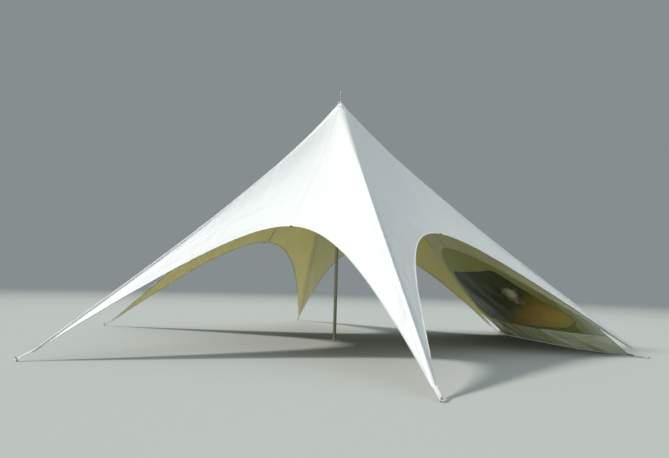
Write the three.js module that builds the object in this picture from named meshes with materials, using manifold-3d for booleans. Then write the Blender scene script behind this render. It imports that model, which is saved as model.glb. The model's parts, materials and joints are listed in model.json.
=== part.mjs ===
// Six-armed star-shaped pole tent: one centre pole, a membrane in six panels between six ridges,
// arched edges between the arm tips, and a clear-windowed sidewall closing one arch.
// Millimetres, +Z up. The origin is on the ground under the centre pole. Arm A points to -Y.

import * as THREE from 'three';
import { mergeVertices } from 'three/addons/utils/BufferGeometryUtils.js';
import Module from 'manifold-3d';

const wasm = await Module();
wasm.setup();

// Plan and height of the canopy
const ARM_NAMES = ['a', 'b', 'c', 'd', 'e', 'f'];
const ARM_ANGLES = [-90, -150, -210, -270, -330, -386.2];
const ARM_SIDE_BOWS = [60, 0, 0, 0, 0, 0];
const ARM_REACH = 6500;
const PEAK_HEIGHT = 5660;
const RIDGE_SAG = 270;
const RIDGE_SAG_BIAS = 0.91;

// Arched edges between neighbouring arm tips
const ARCH_CROWN_REACH = 2870;
const ARCH_CROWN_HEIGHT = 2350;
const WALLED_ARCH = 4;
const WALLED_CROWN_REACH = 2745;
const WALLED_CROWN_HEIGHT = 2245;
const ARCH_ROUNDNESS = 0.97;
const PANEL_HOLLOW = 1.25;

// Near the peak the six panels round into one cone
const CROWN_ROUNDING = 0.08;
const CROWN_ROUNDING_END = 0.3;

// Cloth, seams and clearances
const CLOTH_DEPTH = 8;
const HEM_WIDTH = 36;
const STRAP_HALF_WIDTH = 26;
const STRAP_DEPTH = 3;
const STRAP_LIFT = 2.0;
const GAP = 0.3;
const SEAM_HALF_GAP = 0.2;
const PANEL_START = 0.02;
const ACROSS_STEPS = 24;
const DOWN_STEPS = 7;

// Arm tips: tab, eyelet and stake
const CLOTH_END_REACH = 6310;
const TAB_WIDTH = 70;
const TAB_DEPTH = 6;
const TAB_END_MARGIN = 34;
const EYELET_REACH = 6520;
const TAB_GROUND_REACH = 6600;
const STAKE_RADIUS = 9;
const STAKE_HEAD_RADIUS = 17;
const STAKE_HEAD_DEPTH = 7;
const STAKE_TOP = 44;
const STAKE_BURIED = 200;
const ROUND_SIDES = 16;

// Centre pole
const POLE_RADIUS = 38;
const POLE_SECTIONS = ['lower', 'middle', 'upper'];
const BASE_PLATE_SIZE = 250;
const BASE_PLATE_DEPTH = 8;
const BASE_COLLAR_RADIUS = 46;
const BASE_COLLAR_HEIGHT = 70;
const HEAD_RADIUS = 112;
const HEAD_RIM_DEPTH = 16;
const HEAD_TIP_RADIUS = 16;
const HEAD_CLEARANCE = 1.5;
const HEAD_TIP_CLEARANCE = 8;
const CAP_RADIUS = 165;
const CAP_DEPTH = 4;
const CAP_SEAT = 2.9;
const FINIAL_RADIUS = 11;
const FINIAL_TOP = 5890;
const POLE_SIDES = 24;

// Sidewall: it hangs from the arched edge to a foot line that is drawn in under the arch
const WALL_DEPTH = 6;
const WALL_EDGE_CLEARANCE = 0.6;
const WALL_END_STEP = 2;
const WALL_DOWN_STEPS = 4;
const WALL_FOOT = 9;
const FOOT_INSET = 480;
const FOOT_SQUARENESS = 4;
const SKIRT_TOP = 340;

// Window: first number along the ground line, second up the leaning wall
const WINDOW_CORNERS = [[900, 830], [2000, 2545], [4120, 2545], [5220, 830], [4900, 640], [1220, 640]];
const WINDOW_CORNER_RADIUS = 170;
const WINDOW_DEPTH = 3;
const WINDOW_SHRINK = 0.0006;
const WINDOW_CUT_DEPTH = 900;
const CORNER_TAB_WIDTH = 60;
const CORNER_TAB_LENGTH = 150;
const CORNER_PEG_RADIUS = 6;
const CORNER_PEG_HEAD_RADIUS = 12;
const PEG_TOP = 24;

// Finishes
const clothOutside = { color: 0xf2f4f5, roughness: 0.72, metalness: 0 };
const webbing = { color: 0xe8eaea, roughness: 0.8, metalness: 0 };
const wallCloth = { color: 0xc4c8b4, roughness: 0.75, metalness: 0 };
const clearSheet = { color: 0xb9c4ae, roughness: 0.12, metalness: 0, transparent: true, opacity: 0.35 };
const poleMetal = { color: 0xb9bcbd, roughness: 0.38, metalness: 0.9 };
const stakeMetal = { color: 0x4a4c4b, roughness: 0.5, metalness: 0.8 };

const tent = new THREE.Group();

function addPiece(name, geometry, finish, parent = tent) {
  const mesh = new THREE.Mesh(geometry, new THREE.MeshStandardMaterial(finish));
  mesh.name = name;
  parent.add(mesh);
  return mesh;
}

// The membrane: ridges run from the peak to the arm tips, and each panel spans two ridges.
// Along a panel, "across" runs 0 to 1 from one ridge to the next and "down" 0 to 1 from peak to edge.

function armDirection(arm) {
  const angle = THREE.MathUtils.degToRad(ARM_ANGLES[arm % 6]);
  return new THREE.Vector3(Math.cos(angle), Math.sin(angle), 0);
}

function armSide(arm) {
  const out = armDirection(arm);
  return new THREE.Vector3(-out.y, out.x, 0);
}

function ridgePoint(arm, down) {
  const belly = 4 * down * (1 - down);
  const sag = RIDGE_SAG * belly * (1 + RIDGE_SAG_BIAS * (0.5 - down));
  const point = armDirection(arm).multiplyScalar(ARM_REACH * down);
  point.addScaledVector(armSide(arm), ARM_SIDE_BOWS[arm % 6] * belly);
  point.z = PEAK_HEIGHT * (1 - down) - sag;
  return point;
}

function archRise(across) {
  const x = 2 * across - 1;
  const spread = (1 + ARCH_ROUNDNESS) ** 2 - ARCH_ROUNDNESS ** 2;
  return 1 + ARCH_ROUNDNESS - Math.sqrt(ARCH_ROUNDNESS ** 2 + spread * x * x);
}

function archLift(panel) {
  const walled = panel === WALLED_ARCH;
  const crownReach = walled ? WALLED_CROWN_REACH : ARCH_CROWN_REACH;
  const crownHeight = walled ? WALLED_CROWN_HEIGHT : ARCH_CROWN_HEIGHT;
  const middle = ridgePoint(panel, 1).lerp(ridgePoint(panel + 1, 1), 0.5);
  const lift = middle.clone().multiplyScalar(crownReach / middle.length() - 1);
  lift.z = crownHeight;
  return lift;
}

// How far a panel stands out past the straight line between its ridges near the peak.
function crownRounding(across, down) {
  const fade = Math.max(0, 1 - down / CROWN_ROUNDING_END) ** 2;
  return CROWN_ROUNDING * ARM_REACH * down * fade * 4 * across * (1 - across);
}

function panelPoint(panel, across, down) {
  const point = ridgePoint(panel, down).lerp(ridgePoint(panel + 1, down), across);
  const outward = armDirection(panel).add(armDirection(panel + 1)).normalize();
  point.addScaledVector(outward, crownRounding(across, down));
  return point.addScaledVector(archLift(panel), archRise(across) * down ** PANEL_HOLLOW);
}

// The "down" value that lies a given width in from the arched edge, square to that edge.
function downAtWidth(panel, across, width) {
  const step = 0.001;
  const edge = panelPoint(panel, across, 1);
  const spoke = edge.clone().sub(panelPoint(panel, across, 1 - step)).divideScalar(step);
  const ahead = panelPoint(panel, Math.min(across + step, 1), 1);
  const behind = panelPoint(panel, Math.max(across - step, 0), 1);
  const along = ahead.sub(behind).normalize();
  return 1 - width / spoke.cross(along).length();
}

// A sheet of even depth hung below a grid of top points, closed all round.
function sheetSolid(rows, depth) {
  const columns = rows[0].length;
  const positions = [];
  for (const drop of [0, depth]) {
    rows.flat().forEach((p) => positions.push(p.x, p.y, p.z - drop));
  }
  const under = rows.length * columns;
  const triangles = [];
  const quad = (a, b, c, d) => triangles.push(a, b, c, a, c, d);
  for (let r = 0; r + 1 < rows.length; r += 1) {
    for (let c = 0; c + 1 < columns; c += 1) {
      const a = r * columns + c;
      const b = a + columns;
      quad(a, a + 1, b + 1, b);
      quad(under + a, under + b, under + b + 1, under + a + 1);
    }
  }
  const last = (rows.length - 1) * columns;
  for (let c = 0; c + 1 < columns; c += 1) {
    quad(c, under + c, under + c + 1, c + 1);
    quad(last + c, last + c + 1, under + last + c + 1, under + last + c);
  }
  for (let r = 0; r + 1 < rows.length; r += 1) {
    const a = r * columns;
    const b = a + columns;
    quad(a, b, under + b, under + a);
    quad(a + columns - 1, under + a + columns - 1, under + b + columns - 1, b + columns - 1);
  }
  const geometry = new THREE.BufferGeometry();
  geometry.setAttribute('position', new THREE.Float32BufferAttribute(positions, 3));
  geometry.setIndex(triangles);
  return geometry;
}

function toManifold(geometry) {
  const bare = geometry.clone();
  bare.deleteAttribute('normal');
  bare.deleteAttribute('uv');
  const merged = mergeVertices(bare, 1e-4);
  const vertProperties = new Float32Array(merged.attributes.position.array);
  const triVerts = new Uint32Array(merged.index.array);
  return new wasm.Manifold(new wasm.Mesh({ numProp: 3, vertProperties, triVerts }));
}

function fromManifold(solid) {
  const mesh = solid.getMesh();
  const geometry = new THREE.BufferGeometry();
  geometry.setAttribute('position', new THREE.BufferAttribute(mesh.vertProperties, 3));
  geometry.setIndex(new THREE.BufferAttribute(mesh.triVerts, 1));
  return geometry;
}

function cut(geometry, ...cutters) {
  const cutOnce = (solid, cutter) => solid.subtract(toManifold(cutter));
  return fromManifold(cutters.reduce(cutOnce, toManifold(geometry)));
}

function keepInside(geometry, block) {
  return fromManifold(toManifold(geometry).intersect(toManifold(block)));
}

// A block that fills everything past the end of an arm's cloth.
function beyondArmEnd(arm) {
  const size = 600;
  const block = new THREE.BoxGeometry(size, size, size);
  block.translate(CLOTH_END_REACH + size / 2, 0, 0);
  return block.rotateZ(THREE.MathUtils.degToRad(ARM_ANGLES[arm % 6]));
}

// One grid row of a panel between its two seam gaps.
function panelRow(panel, downOf) {
  const row = [];
  for (let i = 0; i <= ACROSS_STEPS; i += 1) {
    const across = i / ACROSS_STEPS;
    const point = panelPoint(panel, across, downOf(across));
    if (i === 0) {
      point.addScaledVector(armSide(panel), -SEAM_HALF_GAP);
    }
    if (i === ACROSS_STEPS) {
      point.addScaledVector(armSide(panel + 1), SEAM_HALF_GAP);
    }
    row.push(point);
  }
  return row;
}

function ridgeStations(panel, across) {
  const end = downAtWidth(panel, across, HEM_WIDTH + GAP);
  const stations = [];
  for (let j = 0; j <= DOWN_STEPS; j += 1) {
    stations.push(PANEL_START + (end - PANEL_START) * (j / DOWN_STEPS));
  }
  return stations;
}

function clothPanel(panel) {
  const rows = [];
  for (let j = 0; j <= DOWN_STEPS; j += 1) {
    rows.push(panelRow(panel, (across) => ridgeStations(panel, across)[j]));
  }
  return cut(sheetSolid(rows, CLOTH_DEPTH), beyondArmEnd(panel), beyondArmEnd(panel + 1));
}

function archHem(panel) {
  const inner = panelRow(panel, (across) => downAtWidth(panel, across, HEM_WIDTH));
  const outer = panelRow(panel, () => 1);
  const strip = sheetSolid([inner, outer], CLOTH_DEPTH);
  return cut(strip, beyondArmEnd(panel), beyondArmEnd(panel + 1));
}

// Webbing folded over a ridge, lying on the first facet of the panel on either side.
function ridgeStrap(arm) {
  const before = (arm + 5) % 6;
  const reach = 1 / ACROSS_STEPS;
  const lift = STRAP_LIFT + STRAP_DEPTH;
  const downs = [...ridgeStations(arm, 0), 1];
  const leftDowns = [...ridgeStations(before, 1 - reach), 1];
  const rightDowns = [...ridgeStations(arm, reach), 1];
  const rows = downs.map((down, j) => {
    const ridge = ridgePoint(arm, down);
    const left = panelPoint(before, 1 - reach, leftDowns[j]).sub(ridge).normalize();
    const right = panelPoint(arm, reach, rightDowns[j]).sub(ridge).normalize();
    const row = [
      ridge.clone().addScaledVector(left, STRAP_HALF_WIDTH),
      ridge.clone(),
      ridge.clone().addScaledVector(right, STRAP_HALF_WIDTH),
    ];
    row.forEach((point) => point.setZ(point.z + lift));
    return row;
  });
  return cut(sheetSolid(rows, STRAP_DEPTH), beyondArmEnd(arm));
}

for (let i = 0; i < 6; i += 1) {
  const span = `${ARM_NAMES[i]}_${ARM_NAMES[(i + 1) % 6]}`;
  addPiece(`canopy_panel_${span}`, clothPanel(i), clothOutside);
  addPiece(`arch_hem_${span}`, archHem(i), webbing);
  addPiece(`ridge_strap_${ARM_NAMES[i]}`, ridgeStrap(i), webbing);
}

// Arm tips: a tab that leads on from the cloth's end towards the ground, held by a stake square to it.

const tipHeight = (reach) => ridgePoint(1, reach / ARM_REACH).z;
const tabSlope = Math.atan2(tipHeight(CLOTH_END_REACH), TAB_GROUND_REACH - CLOTH_END_REACH);

function roundHole(x, y, radius) {
  return new THREE.Path().absarc(x, y, radius, 0, Math.PI * 2, true);
}

function eyeletTab(width, length, eyeletAt, holeRadius, depth) {
  const half = width / 2;
  const shape = new THREE.Shape();
  shape.moveTo(0, -half);
  shape.lineTo(length - half / 2, -half);
  shape.quadraticCurveTo(length, -half, length, 0);
  shape.quadraticCurveTo(length, half, length - half / 2, half);
  shape.lineTo(0, half);
  shape.closePath();
  shape.holes.push(roundHole(eyeletAt, 0, holeRadius));
  return new THREE.ExtrudeGeometry(shape, { depth, bevelEnabled: false, curveSegments: 8 });
}

function stakeProfile(radius, headRadius, headBase, top) {
  const points = [
    [0, -STAKE_BURIED], [radius, -STAKE_BURIED], [radius, headBase], [headRadius, headBase],
    [headRadius, headBase + STAKE_HEAD_DEPTH], [radius, headBase + STAKE_HEAD_DEPTH],
    [radius, top - radius / 2], [radius / 2, top], [0, top],
  ];
  const outline = points.map(([r, y]) => new THREE.Vector2(r, y));
  return new THREE.LatheGeometry(outline, ROUND_SIDES).rotateX(Math.PI / 2);
}

function belowGround() {
  const size = 4000;
  return new THREE.BoxGeometry(size * 4, size * 4, size).translate(0, 0, -size / 2);
}

const tabReach = CLOTH_END_REACH + GAP * 2 + TAB_DEPTH * Math.sin(tabSlope);
const eyeletAlong = (EYELET_REACH - tabReach) / Math.cos(tabSlope);
const tabStart = new THREE.Vector3(tabReach, 0, (TAB_GROUND_REACH - tabReach) * Math.tan(tabSlope));

for (let i = 0; i < 6; i += 1) {
  const arm = new THREE.Group();
  arm.rotation.z = THREE.MathUtils.degToRad(ARM_ANGLES[i]);
  tent.add(arm);
  const tabLength = eyeletAlong + TAB_END_MARGIN;
  const tab = eyeletTab(TAB_WIDTH, tabLength, eyeletAlong, STAKE_RADIUS + GAP * 2, TAB_DEPTH);
  tab.translate(0, 0, -TAB_DEPTH);
  const tabMesh = addPiece(`arm_${ARM_NAMES[i]}_tip_tab`, tab, webbing, arm);
  tabMesh.position.copy(tabStart);
  tabMesh.rotation.y = tabSlope;
  const stake = stakeProfile(STAKE_RADIUS, STAKE_HEAD_RADIUS, GAP, STAKE_TOP);
  stake.translate(eyeletAlong, 0, 0).rotateY(tabSlope);
  stake.translate(tabStart.x, tabStart.y, tabStart.z);
  addPiece(`arm_${ARM_NAMES[i]}_stake`, cut(stake, belowGround()), stakeMetal, arm);
}

// Centre pole: base plate, collar, three sections, and the head that spreads the cloth.

function lathe(points, sides = POLE_SIDES) {
  const outline = points.map(([r, z]) => new THREE.Vector2(r, z));
  return new THREE.LatheGeometry(outline, sides).rotateX(Math.PI / 2);
}

const valleyPoint = (down) => panelPoint(0, 0.5, down);
const valleyReach = (point) => Math.hypot(point.x, point.y);
const valleyTop = valleyPoint(PANEL_START);
const valleyNext = valleyPoint(PANEL_START * 2);
const valleyFall = (valleyTop.z - valleyNext.z) / (valleyReach(valleyNext) - valleyReach(valleyTop));
const underCloth = (reach) => valleyTop.z - CLOTH_DEPTH - valleyFall * (reach - valleyReach(valleyTop));

const headRim = underCloth(HEAD_RADIUS) - HEAD_CLEARANCE;
const headBase = headRim - HEAD_RIM_DEPTH;
const headTip = underCloth(HEAD_TIP_RADIUS) - HEAD_TIP_CLEARANCE;

const basePlate = new THREE.BoxGeometry(BASE_PLATE_SIZE, BASE_PLATE_SIZE, BASE_PLATE_DEPTH);
basePlate.translate(0, 0, BASE_PLATE_DEPTH / 2);
addPiece('pole_base_plate', basePlate, poleMetal);

const collarFoot = BASE_PLATE_DEPTH + GAP;
const collarBore = POLE_RADIUS + GAP * 2;
addPiece('pole_base_collar', lathe([
  [collarBore, collarFoot], [BASE_COLLAR_RADIUS, collarFoot],
  [BASE_COLLAR_RADIUS, collarFoot + BASE_COLLAR_HEIGHT], [collarBore, collarFoot + BASE_COLLAR_HEIGHT],
  [collarBore, collarFoot],
]), poleMetal);

const sectionLength = (headBase - collarFoot) / POLE_SECTIONS.length;
POLE_SECTIONS.forEach((place, i) => {
  const foot = collarFoot + sectionLength * i;
  const top = foot + sectionLength - GAP;
  const section = lathe([[0, foot], [POLE_RADIUS, foot], [POLE_RADIUS, top], [0, top]]);
  addPiece(`pole_${place}_section`, section, poleMetal);
});

addPiece('pole_head', lathe([
  [0, headBase], [HEAD_RADIUS, headBase], [HEAD_RADIUS, headRim],
  [HEAD_TIP_RADIUS, headTip], [0, headTip],
]), poleMetal);

addPiece('finial_pin', lathe([
  [0, headTip + GAP], [FINIAL_RADIUS, headTip + GAP],
  [FINIAL_RADIUS, FINIAL_TOP - FINIAL_RADIUS], [FINIAL_RADIUS / 2, FINIAL_TOP], [0, FINIAL_TOP],
], ROUND_SIDES), poleMetal);

// Crown cap: a shallow cone over the tops of the ridge straps.
const capRimDown = CAP_RADIUS / ARM_REACH;
const capRim = ridgePoint(1, capRimDown).z + STRAP_LIFT + STRAP_DEPTH + CAP_SEAT;
const capFall = (PEAK_HEIGHT - ridgePoint(1, capRimDown).z) / CAP_RADIUS;
const capBore = FINIAL_RADIUS + GAP * 2;
const capTop = capRim + capFall * (CAP_RADIUS - capBore);
addPiece('crown_cap', lathe([
  [capBore, capTop], [CAP_RADIUS, capRim], [CAP_RADIUS, capRim + CAP_DEPTH],
  [capBore, capTop + CAP_DEPTH], [capBore, capTop],
]), clothOutside);

// Sidewall: "across" runs from arm E to arm F, "down" from the arched edge to the foot.

const wallStart = ridgePoint(WALLED_ARCH, 1);
const wallEnd = ridgePoint(WALLED_ARCH + 1, 1);
const wallAlong = wallEnd.clone().sub(wallStart).normalize();
const wallLift = archLift(WALLED_ARCH);
const wallInward = new THREE.Vector3(wallLift.x, wallLift.y, 0).normalize();
const wallEndAcross = WALL_END_STEP / ACROSS_STEPS;

function wallPoint(across, down) {
  const step = 1 / ACROSS_STEPS;
  const behind = panelPoint(WALLED_ARCH, across - step, 1);
  const tangent = panelPoint(WALLED_ARCH, across + step, 1).sub(behind);
  const outward = new THREE.Vector3(-tangent.y, tangent.x, 0).normalize();
  const edge = panelPoint(WALLED_ARCH, across, 1).addScaledVector(outward, WALL_EDGE_CLEARANCE);
  const x = (across - 0.5) / (0.5 - wallEndAcross);
  const foot = wallStart.clone().lerp(wallEnd, across);
  foot.addScaledVector(wallInward, FOOT_INSET * (1 - x ** FOOT_SQUARENESS));
  foot.z = WALL_FOOT;
  return edge.lerp(foot, down);
}

function wallSheet(depth, drop) {
  const rows = [];
  for (let j = 0; j <= WALL_DOWN_STEPS; j += 1) {
    const row = [];
    for (let i = WALL_END_STEP; i <= ACROSS_STEPS - WALL_END_STEP; i += 1) {
      const point = wallPoint(i / ACROSS_STEPS, j / WALL_DOWN_STEPS);
      row.push(point.setZ(point.z - drop));
    }
    rows.push(row);
  }
  return sheetSolid(rows, depth);
}

// A block that fills everything between two heights.
function heightBlock(low, high) {
  const size = 4 * ARM_REACH;
  return new THREE.BoxGeometry(size, size, high - low).translate(0, 0, (low + high) / 2);
}

function roundedOutline(corners, radius) {
  const outline = new THREE.Shape();
  corners.forEach(([x, y], i) => {
    const corner = new THREE.Vector2(x, y);
    const previous = new THREE.Vector2(...corners[(i + corners.length - 1) % corners.length]);
    const next = new THREE.Vector2(...corners[(i + 1) % corners.length]);
    const from = previous.sub(corner).setLength(radius).add(corner);
    const to = next.sub(corner).setLength(radius).add(corner);
    if (i === 0) {
      outline.moveTo(from.x, from.y);
    } else {
      outline.lineTo(from.x, from.y);
    }
    outline.quadraticCurveTo(corner.x, corner.y, to.x, to.y);
  });
  outline.closePath();
  return outline;
}

const windowUp = wallLift.clone().addScaledVector(wallInward, -FOOT_INSET).normalize();
const windowOut = wallAlong.clone().cross(windowUp);
const windowFoot = wallStart.clone().addScaledVector(wallInward, FOOT_INSET);
const windowFrame = new THREE.Matrix4().makeBasis(wallAlong, windowUp, windowOut).setPosition(windowFoot);
const windowCentre = new THREE.Vector2();
WINDOW_CORNERS.forEach(([x, y]) => windowCentre.add(new THREE.Vector2(x, y)));
windowCentre.divideScalar(WINDOW_CORNERS.length);

function windowBlock(shrink) {
  const corners = WINDOW_CORNERS.map(([x, y]) => [
    windowCentre.x + (x - windowCentre.x) * (1 - shrink),
    windowCentre.y + (y - windowCentre.y) * (1 - shrink),
  ]);
  const outline = roundedOutline(corners, WINDOW_CORNER_RADIUS);
  const options = { depth: WINDOW_CUT_DEPTH, bevelEnabled: false, curveSegments: 4 };
  const block = new THREE.ExtrudeGeometry(outline, options);
  return block.translate(0, 0, -WINDOW_CUT_DEPTH / 2).applyMatrix4(windowFrame);
}

const wallCut = wallSheet(WALL_DEPTH, 0);
const wallAbove = cut(wallCut, heightBlock(-SKIRT_TOP, SKIRT_TOP), windowBlock(0));
addPiece('sidewall_cloth', wallAbove, wallCloth);
addPiece('sidewall_skirt', keepInside(wallCut, heightBlock(-SKIRT_TOP, SKIRT_TOP - GAP)), wallCloth);
const clearCut = wallSheet(WINDOW_DEPTH, (WALL_DEPTH - WINDOW_DEPTH) / 2);
addPiece('sidewall_window', keepInside(clearCut, windowBlock(WINDOW_SHRINK)), clearSheet);

// Corner tabs run on from the skirt's lower corners to small pegs.
const cornerEyelet = CORNER_TAB_LENGTH - CORNER_TAB_WIDTH / 2;
[['e', wallEndAcross, -1], ['f', 1 - wallEndAcross, 1]].forEach(([name, across, side]) => {
  const corner = wallPoint(across, 1);
  const up = wallPoint(across, 0).sub(corner).normalize();
  const outward = wallAlong.clone().multiplyScalar(side);
  const face = outward.clone().cross(up).normalize().multiplyScalar(-side);
  const tabSide = face.clone().cross(outward);
  const middle = corner.clone().addScaledVector(up, CORNER_TAB_WIDTH / 2).addScaledVector(outward, GAP);
  middle.z -= WALL_DEPTH / 2;
  middle.addScaledVector(face, -TAB_DEPTH / 2);
  const toWorld = new THREE.Matrix4().makeBasis(outward, tabSide, face).setPosition(middle);
  const eyeletRadius = CORNER_PEG_RADIUS + GAP * 2;
  const tab = eyeletTab(CORNER_TAB_WIDTH, CORNER_TAB_LENGTH, cornerEyelet, eyeletRadius, TAB_DEPTH);
  addPiece(`sidewall_corner_tab_${name}`, tab.applyMatrix4(toWorld), webbing);
  const headBase = TAB_DEPTH + GAP;
  const peg = stakeProfile(CORNER_PEG_RADIUS, CORNER_PEG_HEAD_RADIUS, headBase, headBase + PEG_TOP);
  peg.translate(cornerEyelet, 0, 0).applyMatrix4(toWorld);
  addPiece(`sidewall_peg_${name}`, cut(peg, belowGround()), stakeMetal);
});

export default tent;
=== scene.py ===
"""Star-shaped pole tent: cloth canopy, webbing, centre pole, clear-windowed sidewall and studio.

Lengths are metres, +Z is up, and the origin is on the ground under the centre pole. Arm A points
to -Y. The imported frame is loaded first, and every piece is made in its place around it.
"""

import json
import math
from contextlib import contextmanager

import bmesh
import bpy
import numpy as np
from bpy.props import FloatProperty, FloatVectorProperty, IntProperty, PointerProperty
from mathutils import Matrix, Vector
from mathutils.kdtree import KDTree

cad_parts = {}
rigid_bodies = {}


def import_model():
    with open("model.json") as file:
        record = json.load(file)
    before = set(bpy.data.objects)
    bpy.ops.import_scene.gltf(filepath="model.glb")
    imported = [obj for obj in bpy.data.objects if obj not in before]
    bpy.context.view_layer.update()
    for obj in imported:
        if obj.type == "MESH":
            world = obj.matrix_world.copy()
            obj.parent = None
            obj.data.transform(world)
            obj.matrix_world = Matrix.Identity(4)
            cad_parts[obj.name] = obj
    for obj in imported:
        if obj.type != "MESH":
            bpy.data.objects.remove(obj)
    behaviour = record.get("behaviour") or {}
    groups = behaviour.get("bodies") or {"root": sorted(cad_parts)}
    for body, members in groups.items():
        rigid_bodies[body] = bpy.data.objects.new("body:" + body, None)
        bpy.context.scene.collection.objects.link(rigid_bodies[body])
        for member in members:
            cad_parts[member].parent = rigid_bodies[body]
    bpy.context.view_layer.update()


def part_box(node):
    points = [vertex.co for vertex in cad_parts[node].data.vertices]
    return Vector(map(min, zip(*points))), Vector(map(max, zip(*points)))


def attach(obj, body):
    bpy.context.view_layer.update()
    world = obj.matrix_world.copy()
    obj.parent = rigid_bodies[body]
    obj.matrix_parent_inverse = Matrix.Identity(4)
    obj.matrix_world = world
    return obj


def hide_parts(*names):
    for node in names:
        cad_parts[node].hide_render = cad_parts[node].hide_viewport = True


bl_info = {
    "name": "Star-shaped pole tent",
    "version": (1, 0, 0),
    "blender": (4, 5, 0),
    "location": "3D View > Sidebar > Tent",
    "description": "Builds the cloth, webbing, pole and sidewall of a six-armed pole tent",
    "category": "Object",
}

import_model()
BODY = "root"

# Directions of arms A to F in degrees and how far their ridges bow aside; panel 4 spans E and F
ARM_NAMES = "abcdef"
ARM_ANGLES = (-90, -150, -210, -270, -330, -386.2)
ARM_SIDE_BOWS = (0.06, 0, 0, 0, 0, 0)
WALLED_ARCH = 4
GAP = 0.0003
STAKE_BURIED = 0.2
CAP_RADIUS = 0.165
PICTURE_WIDTH = 669
SUN_DIRECTION = Vector((-0.772, 0.148, 0.618))

# Filled as the pieces are made: node trees by kind, finishes by use, and each panel's grid of points
TREES = {}
FINISHES = {}
PANEL_POINTS = {}

# The canopy's sizes and the inputs of the panel's node tree that take them
SHAPE_INPUTS = {
    "reach": "Arm Reach", "peak": "Peak Height", "sag": "Ridge Sag", "bias": "Ridge Sag Bias",
    "crown_reach": "Arch Crown Reach", "crown_height": "Arch Crown Height",
    "roundness": "Arch Roundness", "hollow": "Panel Hollow", "rounding": "Crown Rounding",
    "rounding_end": "Crown Rounding End", "cloth_end": "Cloth End Reach",
}
SOFT_INPUTS = {"soft_width": "Soft Ridge Width", "soft_slope": "Soft Ridge Slope"}
RELIEF_INPUTS = {
    "crease": "Crease Depth", "billow": "Billow Depth", "pucker": "Pucker Depth",
    "pleat": "Pleat Depth", "arm_hollow": "Arm Hollow Depth", "flare": "Flare Depth",
}


def size(name, text, default, **more):
    """A length in metres that a user may change."""
    return FloatProperty(name=name, description=text, default=default, unit="LENGTH", precision=4, **more)


def ratio(name, text, default, **more):
    """A plain number that a user may change."""
    return FloatProperty(name=name, description=text, default=default, precision=3, **more)


def colour(name, text, default):
    """A colour that a user may change."""
    return FloatVectorProperty(
        name=name, description=text, default=default, size=3, subtype="COLOR", min=0, max=1
    )


class TentShape(bpy.types.PropertyGroup):
    """Plan and height of the canopy."""

    reach: size("Arm reach", "From the pole to an arm's tip", 6.5)
    peak: size("Peak height", "Where the ridges would meet", 5.66)
    sag: size("Ridge sag", "How far a ridge hangs below a straight line", 0.27)
    bias: ratio("Ridge sag bias", "Above 0, the sag lies nearer the peak", 0.91)
    crown_reach: size("Arch crown reach", "From the pole to an arch's crown", 2.87)
    crown_height: size("Arch crown height", "From the ground to an arch's crown", 2.35)
    walled_crown_reach: size("Walled crown reach", "The same on the arch with the wall", 2.745)
    walled_crown_height: size("Walled crown height", "The same on the arch with the wall", 2.245)
    roundness: ratio("Arch roundness", "0 is a pointed arch, larger is rounder", 0.97)
    hollow: ratio("Panel hollow", "How late a panel curves up to its arch", 1.25)
    rounding: ratio("Crown rounding", "How far the panels round into a cone at the peak", 0.08)
    rounding_end: ratio("Crown rounding end", "Where that rounding ends, from 0 to 1 down", 0.3)
    cloth_end: size("Cloth end reach", "Where an arm's cloth is cut and its tab begins", 6.31)


class TentCloth(bpy.types.PropertyGroup):
    """Cloth, hems and webbing."""

    depth: size("Cloth thickness", "Thickness of the coated cloth", 0.003)
    crown_start: ratio("Crown start", "Where the panels begin, from 0 to 1 down", 0.005)
    columns: IntProperty(name="Columns", description="Grid columns of a panel", default=120, min=8)
    rows: IntProperty(name="Rows", description="Grid rows of a panel", default=170, min=8)
    crease: size("Crease depth", "Depth of the tension creases along the arms", 0.008)
    billow: size("Billow depth", "Depth of the broad swells of a panel", 0.022)
    pucker: size("Pucker depth", "Depth of the puckers along a hem", 0.006)
    pleat: size("Pleat depth", "Depth of the pleats that fan out from the peak", 0.004)
    arm_hollow: size("Arm hollow", "How far an arm's flanks sink beside its ridge", 0.015)
    flare: size("Edge flare", "How far the cloth turns out at an arch", 0.012)
    soft_width: size("Soft ridge width", "Width over which a ridge is round near the crown", 0.16)
    soft_slope: ratio("Soft ridge slope", "How much of a ridge's crease is rounded away", 0.36)
    hem_width: size("Hem width", "Width of the hem along an arch", 0.036)
    hem_depth: size("Hem thickness", "Thickness of the hem along an arch", 0.0075)
    strap_width: size("Ridge strap width", "Width of the webbing over a ridge", 0.052)
    strap_depth: size("Ridge strap thickness", "Thickness of the webbing over a ridge", 0.0024)
    tape_width: size("Ridge tape width", "Width of the webbing under a ridge", 0.045)
    loop_reach: size("Crown loop", "Size of the webbing loop at an arch's crown", 0.045)
    seam_width: size("Seam width", "Width of the seam down the middle of a panel", 0.026)
    outside: colour("Outside", "Coated cloth, outer face", (0.86, 0.875, 0.89))
    # Painted shade: the lining is the white cloth's inner face given a darker tan-olive tone for the
    # shade and green bounce light under the canopy.
    lining: colour("Lining", "Coated cloth, inner face", (0.455, 0.45, 0.295))
    webbing: colour("Webbing", "Hems, straps and tabs", (0.84, 0.84, 0.82))
    # Painted light: the ridge tape's brown is made lighter than the webbing is, to stand in for light
    # shining through the cloth above it.
    tape: colour("Ridge tape", "Webbing under the ridges", (0.82, 0.68, 0.36))
    seam: colour("Seam", "Seam under the middle of a panel", (0.3, 0.24, 0.13))
    loop: colour("Loop", "Webbing loops at the arches' crowns", (0.1, 0.095, 0.07))
    seed: IntProperty(name="Seed", description="Picks the creases", default=7)


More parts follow.
